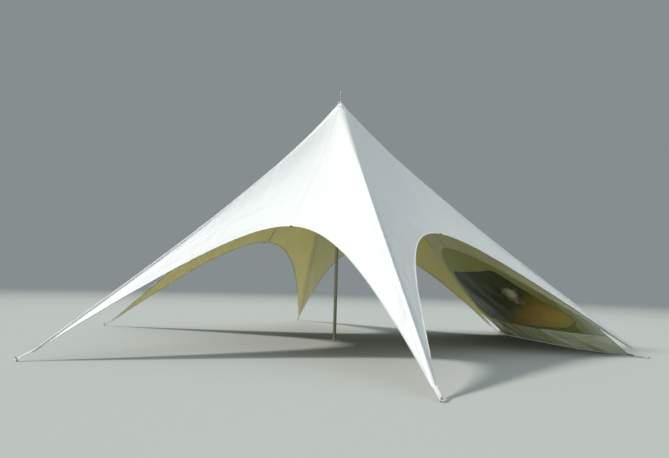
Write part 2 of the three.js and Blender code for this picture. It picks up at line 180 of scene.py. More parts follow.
class TentWall(bpy.types.PropertyGroup):
    """Sidewall with its clear window."""

    foot_inset: size("Foot inset", "How far the foot is drawn in from the line of the tips", 0.48)
    foot_square: ratio("Foot squareness", "2 is a rounded foot line, larger is squarer", 4)
    foot_height: size("Foot height", "Height of the foot over the ground", 0.009)
    skirt_top: size("Skirt seam", "Height of the seam between wall and skirt", 0.38)
    end_across: ratio("Wall end", "Where the wall ends on the arch, from 0 to 1 across", 2 / 24)
    depth: size("Cloth thickness", "Thickness of the wall's cloth", 0.003)
    fold: size("Fold depth", "Depth of the diagonal folds over the ground", 0.075)
    belly: size("Belly", "How far the wall billows", 0.03)
    border_width: size("Border width", "Width of the window's sewn border", 0.045)
    corner_radius: size("Window corner", "Radius of the window's corners", 0.17)
    # Painted shade and light: the wall lining is dark olive for the shade and green bounce light inside
    # the wall, the skirt lining darker still where the tent shades it at arm E, and the painted light
    # lining the lighter tone that the linings turn to towards arm F, where light reaches them.
    lining: colour("Wall lining", "Inner face of the wall", (0.38, 0.4, 0.11))
    skirt_lining: colour("Skirt lining", "Inner face of the skirt, at arm E", (0.2, 0.21, 0.15))
    painted_light_lining: colour("Pale lining", "Inner face of the cloth towards arm F", (0.86, 0.92, 0.78))
    # Painted shade and light: the clear sheet is tinted dark and nearly opaque to paint the dark shade
    # seen through the window, and its amber paints sunlit ground seen through it as yellowing.
    clear: colour("Clear sheet", "Tint of the window", (0.016, 0.028, 0.009))
    amber: colour("Yellowed clear sheet", "Tint of the window where it has yellowed", (0.92, 0.56, 0.12))
    clear_cover: ratio("Clear sheet cover", "0 lets all light through, 1 none", 0.9, min=0, max=1)


class TentPole(bpy.types.PropertyGroup):
    """Pole, stakes and fittings."""

    radius: size("Pole radius", "Outer radius of the pole's tube", 0.038)
    tab_width: size("Tip tab width", "Width of the webbing tab at its eyelet", 0.052)
    tab_neck: size("Tip tab neck", "Width of the tab where it leaves the cloth", 0.064)
    tab_depth: size("Tip tab thickness", "Thickness of the tab at an arm's tip", 0.006)
    eyelet_reach: size("Eyelet reach", "From the pole to the eyelet at a tip", 6.52)
    tab_ground_reach: size("Tab aim", "Where a tip tab's line would meet the ground", 6.6)
    stake_radius: size("Stake radius", "Radius of a ground stake", 0.009)
    # Painted shade: the aluminium is darkened and tinted green for the shade and green bounce light that
    # fall on the pole under the canopy.
    aluminium: colour("Aluminium", "Pole tube", (0.4, 0.42, 0.31))
    steel: colour("Steel", "Plate, stakes and eyelets", (0.52, 0.52, 0.52))


class TentStage(bpy.types.PropertyGroup):
    """Floor, light and camera."""

    floor: colour("Floor", "Pale studio floor", (0.44, 0.455, 0.44))
    sky: colour("Sky", "Soft light from above and all round", (0.6, 0.675, 0.685))
    sky_strength: ratio("Overhead strength", "Strength of the soft light from overhead", 1.25)
    backdrop_strength: ratio("Backdrop strength", "Strength of the soft light from the sides", 0.4)
    sun: colour("Sun", "Colour of the key light", (1.0, 0.965, 0.9))
    sun_strength: ratio("Sun strength", "Strength of the key light", 3.2)
    sun_size: FloatProperty(
        name="Sun size", description="Softness of the shadows", default=math.radians(7), subtype="ANGLE"
    )
    camera_place: FloatVectorProperty(
        name="Camera place", description="Where the camera stands", default=(-2.554, -12.862, 1.3843),
        size=3, subtype="XYZ", unit="LENGTH", precision=4,
    )
    focal: ratio("Focal length", "In pixels of the picture's width", 562.03)
    yaw: ratio("Yaw", "Turn of the camera to the left of +Y, in radians", -0.19094, subtype="ANGLE")
    pitch: ratio("Pitch", "Upward tilt of the camera", 0.0909, subtype="ANGLE")
    roll: ratio("Roll", "Turn of the camera about its own view", 0.0279, subtype="ANGLE")


# Formulas that hold for plain numbers, for arrays and for the fields of a node tree


class Term:
    """A value inside a node tree, so that a formula reads alike for nodes and for numbers."""

    def __init__(self, group, socket):
        self.group = group
        self.socket = socket

    @classmethod
    def made(cls, group, operation, *values):
        node = group.nodes.new("ShaderNodeMath")
        node.operation = operation
        for slot, value in zip(node.inputs, values):
            connect(group, slot, value)
        return cls(group, node.outputs[0])

    def __add__(self, other):
        return Term.made(self.group, "ADD", self, other)

    def __sub__(self, other):
        return Term.made(self.group, "SUBTRACT", self, other)

    def __mul__(self, other):
        return Term.made(self.group, "MULTIPLY", self, other)

    def __truediv__(self, other):
        return Term.made(self.group, "DIVIDE", self, other)

    def __pow__(self, other):
        return Term.made(self.group, "POWER", self, other)

    def __rsub__(self, other):
        return Term.made(self.group, "SUBTRACT", other, self)

    def __rtruediv__(self, other):
        return Term.made(self.group, "DIVIDE", other, self)

    def __rpow__(self, other):
        return Term.made(self.group, "POWER", other, self)

    __radd__ = __add__
    __rmul__ = __mul__


def connect(group, slot, value):
    """Links a value to a node's input, or sets the input to it."""
    if isinstance(value, Term):
        group.links.new(value.socket, slot)
    elif isinstance(value, bpy.types.NodeSocket):
        group.links.new(value, slot)
    else:
        slot.default_value = value


def worked_out(operation, array_function, *values):
    """One operation on fields or on arrays."""
    terms = [v for v in values if isinstance(v, Term)]
    if terms:
        return Term.made(terms[0].group, operation, *values)
    return array_function(*values)


def root(x):
    return worked_out("SQRT", np.sqrt, x)


def sine(x):
    return worked_out("SINE", np.sin, x)


def size_of(x):
    return worked_out("ABSOLUTE", np.abs, x)


def at_least(x, low):
    return worked_out("MAXIMUM", np.maximum, x, low)


def at_most(x, high):
    return worked_out("MINIMUM", np.minimum, x, high)


def share(x):
    """x kept between 0 and 1."""
    return at_most(at_least(x, 0.0), 1.0)


# The membrane: ridges run from the peak to the arm tips, and each panel spans two ridges. "Across"
# runs 0 to 1 from one ridge to the next, and "down" 0 to 1 from the peak to the arched edge.


def ridge_point(s, arm, down):
    """A point of a ridge, for the tent's sizes s and the numbers of an arm."""
    belly = 4 * down * (1 - down)
    run = s["reach"] * down
    side = arm["bow"] * belly
    z = s["peak"] * (1 - down) - s["sag"] * belly * (1 + s["bias"] * (0.5 - down))
    return arm["cos"] * run - arm["sin"] * side, arm["sin"] * run + arm["cos"] * side, z


def arch_rise(s, across):
    """0 at the arm tips and 1 at the arch's crown, along a hyperbola."""
    flat = s["roundness"]
    x = 2 * across - 1
    return 1 + flat - root(flat * flat + (1 + 2 * flat) * x * x)


def panel_spread(s, left, right):
    """The direction midway between two arms, and the arch crown's lift off the line of the tips."""
    x = left["cos"] + right["cos"]
    y = left["sin"] + right["sin"]
    length = root(x * x + y * y)
    inset = s["crown_reach"] - s["reach"] * length / 2
    outward = (x / length, y / length, 0.0)
    return outward, (outward[0] * inset, outward[1] * inset, s["crown_height"])


def panel_point(s, left, right, across, down):
    """A point of the plain membrane between two arms."""
    outward, lift = panel_spread(s, left, right)
    rise = arch_rise(s, across) * down ** s["hollow"]
    fade = at_least(1 - down / s["rounding_end"], 0.0) ** 2
    swell = s["rounding"] * s["reach"] * down * fade * 4 * across * (1 - across)
    near = ridge_point(s, left, down)
    far = ridge_point(s, right, down)
    parts = zip(near, far, lift, outward)
    return [n + (f - n) * across + up * rise + out * swell for n, f, up, out in parts]


def panel_end(s, left, right, across):
    """How far down a panel runs: to its arch, but not past the cut end of either arm."""
    x, y, _ = panel_point(s, left, right, across, 1.0)
    past_left = x * left["cos"] + y * left["sin"]
    past_right = x * right["cos"] + y * right["sin"]
    furthest = at_least(at_least(past_left, past_right), s["cloth_end"])
    return s["cloth_end"] / furthest


def tent_sizes(panel=0):
    """The shape's numbers for one panel."""
    shape, cloth = bpy.context.scene.tent_shape, bpy.context.scene.tent_cloth
    s = {name: getattr(shape, name) for name in SHAPE_INPUTS}
    s.update({name: getattr(cloth, name) for name in SOFT_INPUTS})
    if panel == WALLED_ARCH:
        s["crown_reach"] = shape.walled_crown_reach
        s["crown_height"] = shape.walled_crown_height
    return s


def arm_numbers(arm):
    """An arm's direction, and how far its ridge bows to the side."""
    angle = math.radians(ARM_ANGLES[arm % 6])
    return {"cos": math.cos(angle), "sin": math.sin(angle), "bow": ARM_SIDE_BOWS[arm % 6]}


def surface(panel, across, down):
    """Points of the plain membrane, for numbers or arrays."""
    across, down = np.broadcast_arrays(np.asarray(across, float), np.asarray(down, float))
    left, right = arm_numbers(panel), arm_numbers(panel + 1)
    return np.stack(panel_point(tent_sizes(panel), left, right, across, down), -1)


def ridge(arm, down):
    """Points of a ridge, for numbers or arrays."""
    down = np.asarray(down, float)
    return np.stack(ridge_point(tent_sizes(), arm_numbers(arm), down), -1)


def span_name(panel):
    return f"{ARM_NAMES[panel]}_{ARM_NAMES[(panel + 1) % 6]}"


# Geometry node trees


def add_node(group, kind, inputs=None, **settings):
    """A new node with its settings, and its inputs linked or set."""
    node = group.nodes.new(kind)
    for name, value in settings.items():
        setattr(node, name, value)
    for name, value in (inputs or {}).items():
        connect(group, node.inputs[name], value)
    return node


class Tree:
    """A geometry node tree with named inputs, which ends in Realize Instances and Set Material."""

    def __init__(self, name, takes_mesh=False):
        self.group = bpy.data.node_groups.new(name, "GeometryNodeTree")
        self.entry = self.group.nodes.new("NodeGroupInput")
        self.exit = self.group.nodes.new("NodeGroupOutput")
        self.ids = {}
        sockets = self.group.interface
        sockets.new_socket(name="Geometry", in_out="OUTPUT", socket_type="NodeSocketGeometry")
        self.mesh = self.ask("Path", "NodeSocketGeometry") if takes_mesh else None
        self.finish = self.ask("Finish", "NodeSocketMaterial")

    def ask(self, name, kind):
        made = self.group.interface.new_socket(name=name, in_out="INPUT", socket_type=kind)
        self.ids[name] = made.identifier
        return self.entry.outputs[name]

    def number(self, name):
        return Term(self.group, self.ask(name, "NodeSocketFloat"))

    def count(self, name):
        return Term(self.group, self.ask(name, "NodeSocketInt"))

    def node(self, kind, inputs=None, **settings):
        return add_node(self.group, kind, inputs, **settings)

    def vector(self, x, y, z=0.0):
        return self.node("ShaderNodeCombineXYZ", {"X": x, "Y": y, "Z": z}).outputs["Vector"]

    def parts(self, vector):
        node = self.node("ShaderNodeSeparateXYZ", {"Vector": vector})
        return [Term(self.group, socket) for socket in node.outputs]

    def scaled(self, vector, factor):
        node = self.node("ShaderNodeVectorMath", {0: vector, "Scale": factor}, operation="SCALE")
        return node.outputs["Vector"]

    def added(self, first, second):
        node = self.node("ShaderNodeVectorMath", {0: first, 1: second}, operation="ADD")
        return node.outputs["Vector"]

    def noise(self, x, y, z):
        """Smooth noise from -1 to 1, one swell for each whole step of x, y and z."""
        inputs = {"Vector": self.vector(x, y, z), "Scale": 1.0, "Detail": 2.0}
        node = self.node("ShaderNodeTexNoise", inputs, noise_dimensions="3D")
        return Term(self.group, node.outputs["Fac"]) * 2 - 1

    def moved(self, geometry, **inputs):
        inputs = {name.capitalize(): value for name, value in inputs.items()}
        node = self.node("GeometryNodeSetPosition", {"Geometry": geometry, **inputs})
        return node.outputs["Geometry"]

    def stored(self, geometry, name, value, data_type="FLOAT_VECTOR", domain="POINT"):
        inputs = {"Geometry": geometry, "Name": name, "Value": value}
        node = self.node("GeometryNodeStoreNamedAttribute", inputs, data_type=data_type, domain=domain)
        return node.outputs["Geometry"]

    def charted(self, geometry, u, v):
        """Stores a UV map in metres."""
        return self.stored(geometry, "UVMap", self.vector(u, v), "FLOAT2", "CORNER")

    def read(self, name):
        """A vector that is stored on the tree's own mesh."""
        stored = self.node("GeometryNodeInputNamedAttribute", {"Name": name}, data_type="FLOAT_VECTOR")
        return stored.outputs["Attribute"]

    def close(self, geometry):
        shaded = self.node("GeometryNodeSetShadeSmooth", {"Geometry": geometry, "Shade Smooth": True})
        real = self.node("GeometryNodeRealizeInstances", {"Geometry": shaded.outputs["Geometry"]})
        inputs = {"Geometry": real.outputs["Geometry"], "Material": self.finish}
        dressed = self.node("GeometryNodeSetMaterial", inputs)
        connect(self.group, self.exit.inputs["Geometry"], dressed.outputs["Geometry"])
        return self


def add_object(name, mesh):
    made = bpy.data.objects.new(name, mesh)
    mesh.name = name
    bpy.context.collection.objects.link(made)
    return made


def evaluated_mesh(thing):
    """The mesh that an object shows, its modifiers included."""
    bpy.context.view_layer.update()
    graph = bpy.context.evaluated_depsgraph_get()
    return bpy.data.meshes.new_from_object(
        thing.evaluated_get(graph), preserve_all_data_layers=True, depsgraph=graph
    )


def bake(tree, name, values, source=None):
    """Runs a tree once and keeps its result as a plain mesh at the origin."""
    carrier = add_object(name + "_tree", source or bpy.data.meshes.new(name + "_tree"))
    modifier = carrier.modifiers.new("Tree", "NODES")
    modifier.node_group = tree.group
    for label, value in values.items():
        modifier[tree.ids[label]] = value
    mesh = evaluated_mesh(carrier)
    carrier.modifiers.remove(modifier)
    bpy.data.objects.remove(carrier)
    if not len(mesh.polygons):
        raise RuntimeError(f"{name}: the node tree made no faces")
    return add_object(name, mesh)


def settle(piece):
    """Turns a piece's modifiers into plain mesh."""
    mesh = evaluated_mesh(piece)
    piece.modifiers.clear()
    piece.data = mesh
    mesh.name = piece.name
    return piece


def thicken(piece, depth, *finishes):
    """Gives a sheet its thickness. The finish after a face's own one is for its inner side."""
    for finish in finishes:
        piece.data.materials.append(finish)
    solid = piece.modifiers.new("Thickness", "SOLIDIFY")
    solid.thickness = depth
    solid.offset = -1
    solid.use_even_offset = True
    solid.material_offset = min(len(finishes), 1)
    return settle(piece)


def stored_points(mesh):
    """A mesh's points as an array."""
    places = np.empty(len(mesh.vertices) * 3)
    mesh.vertices.foreach_get("co", places)
    return places.reshape(-1, 3)


def path_mesh(name, points, **vectors):
    """A chain of edges that carries vectors from point to point, for a tree to read."""
    mesh = bpy.data.meshes.new(name)
    chain = [(i, i + 1) for i in range(len(points) - 1)]
    mesh.from_pydata([tuple(p) for p in points], chain, [])
    run = run_along(points)
    vectors["place"] = points
    vectors["run"] = np.stack([run, run / run[-1], 0 * run], -1)
    for label, values in vectors.items():
        layer = mesh.attributes.new(label, "FLOAT_VECTOR", "POINT")
        layer.data.foreach_set("vector", np.ascontiguousarray(values, dtype=float).ravel())
    return mesh


def run_along(points):
    """How far each point of a chain lies from its first, along the chain."""
    steps = np.linalg.norm(np.diff(points, axis=0), axis=-1)
    return np.concatenate([0 * steps[:1], np.cumsum(steps, axis=0)])


def unit(vectors):
    return vectors / np.linalg.norm(vectors, axis=-1, keepdims=True)


def facing(vectors, aim):
    """Unit vectors along the given ones, each turned to the side that an aim points to."""
    vectors = unit(vectors)
    return vectors * np.sign(np.sum(vectors * aim, axis=-1, keepdims=True))


def keep_piece(piece, slot, *nodes):
    """Sets a finished piece to ride and stand for its CAD nodes; the slot is not used."""
    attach(piece, BODY)
    if nodes:
        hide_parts(*nodes)


# Finishes


class Finish:
    """A procedural material in the making."""

    def __init__(self, name, roughness, metallic=0.0):
        self.material = bpy.data.materials.new(name)
        self.material.use_nodes = True
        self.group = self.material.node_tree
        self.shader = self.group.nodes["Principled BSDF"]
        self.shader.inputs["Roughness"].default_value = roughness
        self.shader.inputs["Metallic"].default_value = metallic

    def node(self, kind, inputs=None, **settings):
        return add_node(self.group, kind, inputs, **settings)

    def chart(self):
        """The piece's own UV map, in metres."""
        place = self.node("ShaderNodeTexCoord").outputs["UV"]
        parts = self.node("ShaderNodeSeparateXYZ", {"Vector": place}).outputs
        return Term(self.group, parts["X"]), Term(self.group, parts["Y"])

    def place(self):
        place = self.node("ShaderNodeTexCoord").outputs["Object"]
        parts = self.node("ShaderNodeSeparateXYZ", {"Vector": place}).outputs
        return [Term(self.group, parts[axis]) for axis in "XYZ"]

    def noise(self, x, y, z=0.0, detail=3.0):
        """Smooth noise from 0 to 1, one swell for each whole step of x, y and z."""
        vector = self.node("ShaderNodeCombineXYZ", {"X": x, "Y": y, "Z": z}).outputs["Vector"]
        inputs = {"Vector": vector, "Scale": 1.0, "Detail": detail}
        return Term(self.group, self.node("ShaderNodeTexNoise", inputs).outputs["Fac"])

    def mixed(self, factor, first, second):
        node = self.node("ShaderNodeMix", data_type="RGBA", clamp_factor=True)
        connect(self.group, node.inputs["Factor"], factor)
        connect(self.group, node.inputs[6], first)
        connect(self.group, node.inputs[7], second)
        return node.outputs[2]

    def close(self, base, height=None, roughness=None, **constants):
        """Connects the colour, the relief in metres and the roughness, and sets the rest."""
        connect(self.group, self.shader.inputs["Base Color"], base)
        if height is not None:
            inputs = {"Height": height, "Distance": 1.0, "Strength": 1.0}
            bump = self.node("ShaderNodeBump", inputs)
            connect(self.group, self.shader.inputs["Normal"], bump.outputs["Normal"])
        if roughness is not None:
            connect(self.group, self.shader.inputs["Roughness"], roughness)
        for name, value in constants.items():
            self.shader.inputs[name.replace("_", " ")].default_value = value
        return self.material


def rgba(values, factor=1.0):
    return (*[v * factor for v in values], 1.0)


def line(x, spacing, width):
    """1 on a line of the given width at every whole step of the spacing, soft at its sides."""
    steps = x / spacing + 0.5
    off = (steps - worked_out("FLOOR", np.floor, steps) - 0.5) * spacing
    return share((width / 2 - size_of(off)) / (width * 0.25) + 0.5)


def woven(u, v, pitch, depth):
    """Relief of a plain weave."""
    turn = 2 * math.pi / pitch
    return sine(u * turn) * sine(v * turn) * depth


def cloth_finish(name, base, seam, dirt, sheen=0.05, glow=0.0, relief=0.006, fade=None, streak=0.35,
                 painted_fold_shading=0.0, painted_ridge_shade=0.0):
    """Coated woven cloth with welded cross seams, crinkles along the pull and faint soiling.

    Glow is how much light comes through the cloth, and relief the depth of its crinkles. A fade is
    the colour that the cloth turns to along its u, and where it starts and ends: painted light, a
    paler tone where more light reaches the cloth. Streak is how much darker the cloth is along its
    pull, and painted_fold_shading how much painted highlight and painted shade lie along diagonal
    folds. painted_ridge_shade is how much painted shade, a lavender grey broken by small lighter
    flecks, lies along the arms beside their ridges.
    """
    cut_width, seam_width, ridge_slope = 1.48, 0.024, 0.377
    finish = Finish(name, 0.62)
    u, v = finish.chart()
    x, y, z = finish.place()
    cross_seam = line(v, cut_width, seam_width)
    mid_seam = share(1.6 - size_of(u) / 0.014)
    patches = finish.noise(x * 0.7, y * 0.7, z * 0.7)
    seams = share(cross_seam + mid_seam)
    streaks = finish.noise(u * 9, v * 0.3, detail=4.0)
    crinkle = finish.noise(u * 9, v * 0.9, detail=4.0)
    fine = finish.noise(u * 34, v * 7)
    low = share(1 - z / 0.55) * patches
    drawn_tone = share((streaks - 0.5) * 2.4 + 0.5) * streak + (patches - 0.5) * 0.5
    tone = finish.mixed(drawn_tone, rgba(base, 1.05), rgba(base, 1.05 - 0.34 * streak))
    # Painted light: the cloth turns to a paler tone along its u, towards where more light reaches it.
    if fade:
        painted_light_tone, start, end = fade
        reached = share((u + (streaks - 0.5) * 0.5 - start) / (end - start))
        tone = finish.mixed(reached, tone, rgba(painted_light_tone))
    # Painted highlight on the crests of diagonal folds and painted shade in their hollows.
    if painted_fold_shading:
        drawn = finish.noise((u + v) * 3.2, (u - v) * 0.45, 2.2, detail=4.0)
        tone = finish.mixed(share((drawn - 0.53) * 12) * painted_fold_shading, tone, (0.78, 0.78, 0.7, 1))
        tone = finish.mixed(share((0.45 - drawn) * 8) * painted_fold_shading * 0.7, tone, rgba(base, 0.5))
    # Painted shade: a lavender grey beside the ridges down the arms, broken by small lighter flecks.
    if painted_ridge_shade:
        from_ridge = v * ridge_slope - size_of(u)
        along_arm = share(1 - from_ridge / 0.34) * share((v - 3.4) / 2.2)
        flecks = share((finish.noise(u * 13, v * 5, 5.1, detail=4.0) - 0.52) * 9)
        tone = finish.mixed(along_arm * (1 - flecks) * painted_ridge_shade, tone, (0.6, 0.6, 0.68, 1))
    tone = finish.mixed(seams * 0.55, tone, rgba(seam))
    tone = finish.mixed(low * 0.45, tone, rgba(dirt))
    height = crinkle * relief + fine * (relief * 0.14) + seams * 0.0008
    height = height + woven(u, v, 0.0016, 0.00012)
    rough = 0.56 + fine * 0.16
    through = (1.0, 0.9, 0.64) if max(base) < 0.5 else (1.0, 1.0, 0.9)
    return finish.close(
        tone, height, rough, Sheen_Weight=sheen, Specular_IOR_Level=0.35, Subsurface_Weight=glow,
        Subsurface_Radius=through, Subsurface_Scale=0.014,
    )


def webbing_finish(name, base, width):
    """Flat woven webbing with ribs across it, a darker selvedge and two rows of stitching."""
    finish = Finish(name, 0.8)
    u, v = finish.chart()
    edge = share((size_of(u) - width * 0.44) / (width * 0.05))
    stitch_row = share(1.5 - size_of(size_of(u) - width * 0.34) / 0.0011)
    stitch = stitch_row * line(v, 0.0075, 0.0052)
    ribs = sine(v * (2 * math.pi / 0.0024) + size_of(u) * 900)
    grime = finish.noise(u * 22, v * 3)
    tone = finish.mixed(grime * 0.35, rgba(base), rgba(base, 0.86))
    tone = finish.mixed(edge * 0.35, tone, rgba(base, 0.72))
    tone = finish.mixed(stitch, tone, rgba(base, 0.9))
    height = ribs * 0.00018 + stitch * 0.0006
    return finish.close(tone, height, 0.72 + grime * 0.14, Sheen_Weight=0.25)


# Bands: webbing, hems and seams that follow a path on a surface


def band_tree():
    """A flat band with rounded edges. Each point of its path carries the band's own directions."""
    tree = Tree("band", takes_mesh=True)
    width, depth = tree.number("Width"), tree.number("Depth")
    curve = tree.node("GeometryNodeMeshToCurve", {"Mesh": tree.mesh}).outputs["Curve"]
    outline = tree.node(
        "GeometryNodeCurvePrimitiveQuadrilateral", {"Width": depth, "Height": width}
    ).outputs["Curve"]
    inputs = {"Curve": outline, "Count": 3, "Radius": depth * 0.46}
    outline = tree.node("GeometryNodeFilletCurve", inputs, mode="POLY").outputs["Curve"]
    here = tree.node("GeometryNodeInputPosition").outputs["Position"]
    outline = tree.stored(outline, "section", here)
    inputs = {"Curve": curve, "Profile Curve": outline, "Fill Caps": True}
    swept = tree.node("GeometryNodeCurveToMesh", inputs).outputs["Mesh"]
    above, beside, _ = tree.parts(tree.read("section"))
    near_slope, far_slope, _ = tree.parts(tree.read("sink"))
    run, _, _ = tree.parts(tree.read("run"))
    sign = Term.made(tree.group, "SIGN", beside)
    slope = (near_slope * (1 + sign) + far_slope * (1 - sign)) / 2
    place = tree.added(tree.read("place"), tree.scaled(tree.read("side"), beside))
    place = tree.added(place, tree.scaled(tree.read("out"), above - size_of(beside) * slope))
    laid = tree.moved(swept, position=place)
    return tree.close(tree.charted(laid, beside, run))


def row_tree(kind):
    """Loops or stitches set in a row along a path."""
    tree = Tree(kind, takes_mesh=True)
    spacing, length = tree.number("Spacing"), tree.number("Length")
    width, depth, rise = tree.number("Width"), tree.number("Depth"), tree.number("Rise")
    curve = tree.node("GeometryNodeMeshToCurve", {"Mesh": tree.mesh}).outputs["Curve"]
    inputs = {"Curve": curve, "Length": spacing}
    spots = tree.node("GeometryNodeCurveToPoints", inputs, mode="LENGTH").outputs["Points"]
    if kind == "loops":
        inputs = {"Resolution": 20, "Radius": 0.5}
        round_line = tree.node("GeometryNodeCurvePrimitiveCircle", inputs, mode="RADIUS")
        shaped = tree.node("GeometryNodeTransform", {
            "Geometry": round_line.outputs["Curve"], "Scale": tree.vector(length, rise, 1.0),
            "Rotation": (math.pi / 2, 0.0, 0.0),
        }).outputs["Geometry"]
        inputs = {"Width": depth, "Height": width}
        flat = tree.node("GeometryNodeCurvePrimitiveQuadrilateral", inputs).outputs["Curve"]
        inputs = {"Curve": shaped, "Profile Curve": flat}
        single = tree.node("GeometryNodeCurveToMesh", inputs).outputs["Mesh"]
    else:
        ball = tree.node("GeometryNodeMeshIcoSphere", {"Radius": 0.5, "Subdivisions": 1}).outputs["Mesh"]
        single = tree.node("GeometryNodeTransform", {
            "Geometry": ball, "Scale": tree.vector(length, width, depth),
        }).outputs["Geometry"]
    turn = tree.node(
        "FunctionNodeAxesToRotation",
        {"Primary Axis": tree.read("out"), "Secondary Axis": tree.read("ahead")},
        primary_axis="Z", secondary_axis="X",
    ).outputs["Rotation"]
    inputs = {"Points": spots, "Instance": single, "Rotation": turn}
    placed_row = tree.node("GeometryNodeInstanceOnPoints", inputs).outputs["Instances"]
    real = tree.node("GeometryNodeRealizeInstances", {"Geometry": placed_row}).outputs["Geometry"]
    x, y, z = tree.parts(tree.node("GeometryNodeInputPosition").outputs["Position"])
    return tree.close(tree.charted(real, x + y, z))


def row_of(kind, name, points, out, spacing, sizes, finish):
    """A row of loops or stitches along points, standing up towards out."""
    side, out = frames_along(points, out)
    ahead = unit(np.gradient(points, axis=0))
    path = path_mesh(name, points, side=side, out=out, ahead=ahead)
    if kind not in TREES:
        TREES[kind] = row_tree(kind)
    labels = ("Length", "Width", "Depth", "Rise")
    values = {"Spacing": spacing, "Finish": finish, **dict(zip(labels, sizes))}
    return without_guides(bake(TREES[kind], name, values, path))


def without_guides(piece):
    """Drops the directions that a piece's tree read from its path."""
    for layer in ("section", "sink", "run", "place", "side", "out", "ahead"):
        stale = piece.data.attributes.get(layer)
        if stale:
            piece.data.attributes.remove(stale)
    return piece


def frames_along(points, out):
    """The sideways and outward unit vectors along a path, square to it."""
    ahead = unit(np.gradient(points, axis=0))
    out = unit(out)
    side = unit(np.cross(ahead, out))
    return side, unit(np.cross(side, ahead))


def band(name, points, out, width, depth, finish, lift=0.0, sink=None):
    """A band along points, whose outer side faces out, lifted off them by its middle's distance."""
    side, out = frames_along(points, out)
    if sink is None:
        sink = np.zeros_like(points)
    path = path_mesh(name, points + out * lift, side=side, out=out, sink=sink)
    if "band" not in TREES:
        TREES["band"] = band_tree()
    piece = bake(TREES["band"], name, {"Width": width, "Depth": depth, "Finish": finish}, path)
    face_outwards(piece.data)
    return without_guides(piece)


@contextmanager
def editing(mesh):
    """Opens a mesh for bmesh's operations and writes it back."""
    build = bmesh.new()
    build.from_mesh(mesh)
    yield build
    build.to_mesh(mesh)
    build.free()


def face_outwards(mesh):
    """Merges a closed mesh's doubles and turns its faces outwards."""
    with editing(mesh) as build:
        bmesh.ops.remove_doubles(build, verts=build.verts, dist=1e-6)
        bmesh.ops.recalc_face_normals(build, faces=build.faces)


def grid_mesh(name, points, uv):
    """A mesh over a grid of points, with its UV map in metres."""
    rows, columns = points.shape[:2]
    index = np.arange(rows * columns).reshape(rows, columns)
    corners = (index[:-1, :-1], index[:-1, 1:], index[1:, 1:], index[1:, :-1])
    faces = np.stack([c.ravel() for c in corners], -1)
    mesh = bpy.data.meshes.new(name)
    mesh.from_pydata(points.reshape(-1, 3).tolist(), [], faces.tolist())
    layer = mesh.uv_layers.new(name="UVMap")
    layer.data.foreach_set("uv", uv.reshape(-1, 2)[faces.ravel()].ravel())
    mesh.polygons.foreach_set("use_smooth", [True] * len(mesh.polygons))
    return mesh


# Canopy


def panel_tree():
    """One panel as a grid on the membrane's formula, creased, billowed and puckered."""
    tree = Tree("canopy panel")
    columns, rows = tree.count("Columns"), tree.count("Rows")
    s = {key: tree.number(label) for key, label in {**SHAPE_INPUTS, **SOFT_INPUTS}.items()}
    parts = ("cos", "sin", "bow")
    left = {part: tree.number(f"Left Arm {part.capitalize()}") for part in parts}
    right = {part: tree.number(f"Right Arm {part.capitalize()}") for part in parts}
    start = tree.number("Crown Start")
    depths = {key: tree.number(label) for key, label in RELIEF_INPUTS.items()}
    seed = tree.number("Seed")

    inputs = {"Size X": 1.0, "Size Y": 1.0, "Vertices X": columns, "Vertices Y": rows}
    grid = tree.node("GeometryNodeMeshGrid", inputs)
    step_across, step_down, _ = tree.parts(grid.outputs["UV Map"])
    across = eased(step_across)
    end = panel_end(s, left, right, across)
    down = start + (end - start) * (1 - (1 - step_down) ** 1.35)
    point = panel_point(s, left, right, across, down)

    chord_x, chord_y = left["cos"] - right["cos"], left["sin"] - right["sin"]
    chord = root(chord_x * chord_x + chord_y * chord_y)
    slant = root(s["reach"] * s["reach"] + s["peak"] * s["peak"])
    wide = s["reach"] * chord * down
    u, v = (across - 0.5) * wide, down * slant
    from_ridge = at_most(across, 1 - across) * wide
    from_edge = (end - down) * slant * 0.6
    middle = 4 * across * (1 - across)
    held = share((from_ridge - 0.035) / 0.14)

    arm = share((down - 0.3) / 0.35) * (1 - middle * middle)
    crease = tree.noise(u / 0.17, v / 2.6, seed) * (0.3 + arm) * depths["crease"]
    billow = tree.noise(u / 1.5, v / 1.9, seed + 9.5) * middle * down * depths["billow"]
    along_edge = across * slant * 1.4
    draw = tree.noise(along_edge / 0.15, from_edge / 0.8, seed + 21.5)
    pucker = draw * math.e ** (from_edge * -6) * share(from_ridge / 0.4 - 0.1) * depths["pucker"]
    fan = tree.noise(across * 15, v / 1.3, seed + 33.5)
    pleat = fan * math.e ** (down * -5) * share(down / 0.03) * depths["pleat"]
    arm_hollow = from_ridge / 0.13 * math.e ** (1 - from_ridge / 0.13) * share((down - 0.42) / 0.3)
    flare = math.e ** (from_edge / -0.03) * share(from_ridge / 0.5 - 0.1)
    relief = (crease + billow + pleat - arm_hollow * depths["arm_hollow"]) * held + pucker
    relief = relief + flare * depths["flare"]

    drops = softened(s, left, right, across, down, wide)
    point = [place + drop for place, drop in zip(point, drops)]
    laid = tree.moved(grid.outputs["Mesh"], position=tree.vector(*point))
    normal = tree.node("GeometryNodeInputNormal").outputs["Normal"]
    worn = tree.moved(laid, offset=tree.scaled(normal, relief))
    return tree.close(tree.charted(worn, u, v))


def flat_panel(panel):
    """Flat size and area of one panel, which is cut as two halves that lie side by side."""
    across, down = np.meshgrid(np.linspace(0, 1, 121), np.linspace(0.005, 1, 121))
    left, right = arm_numbers(panel), arm_numbers(panel + 1)
    end = panel_end(tent_sizes(panel), left, right, across)
    points = surface(panel, across, down * end)
    peak, tip, crown = points[0, 0], points[-1, 0], points[-1, 60]
    length = np.linalg.norm(tip - peak)
    along = (tip - peak) / length
    half = np.linalg.norm(crown - peak - along * np.dot(crown - peak, along))
    return (2 * half, length), grid_area(points)


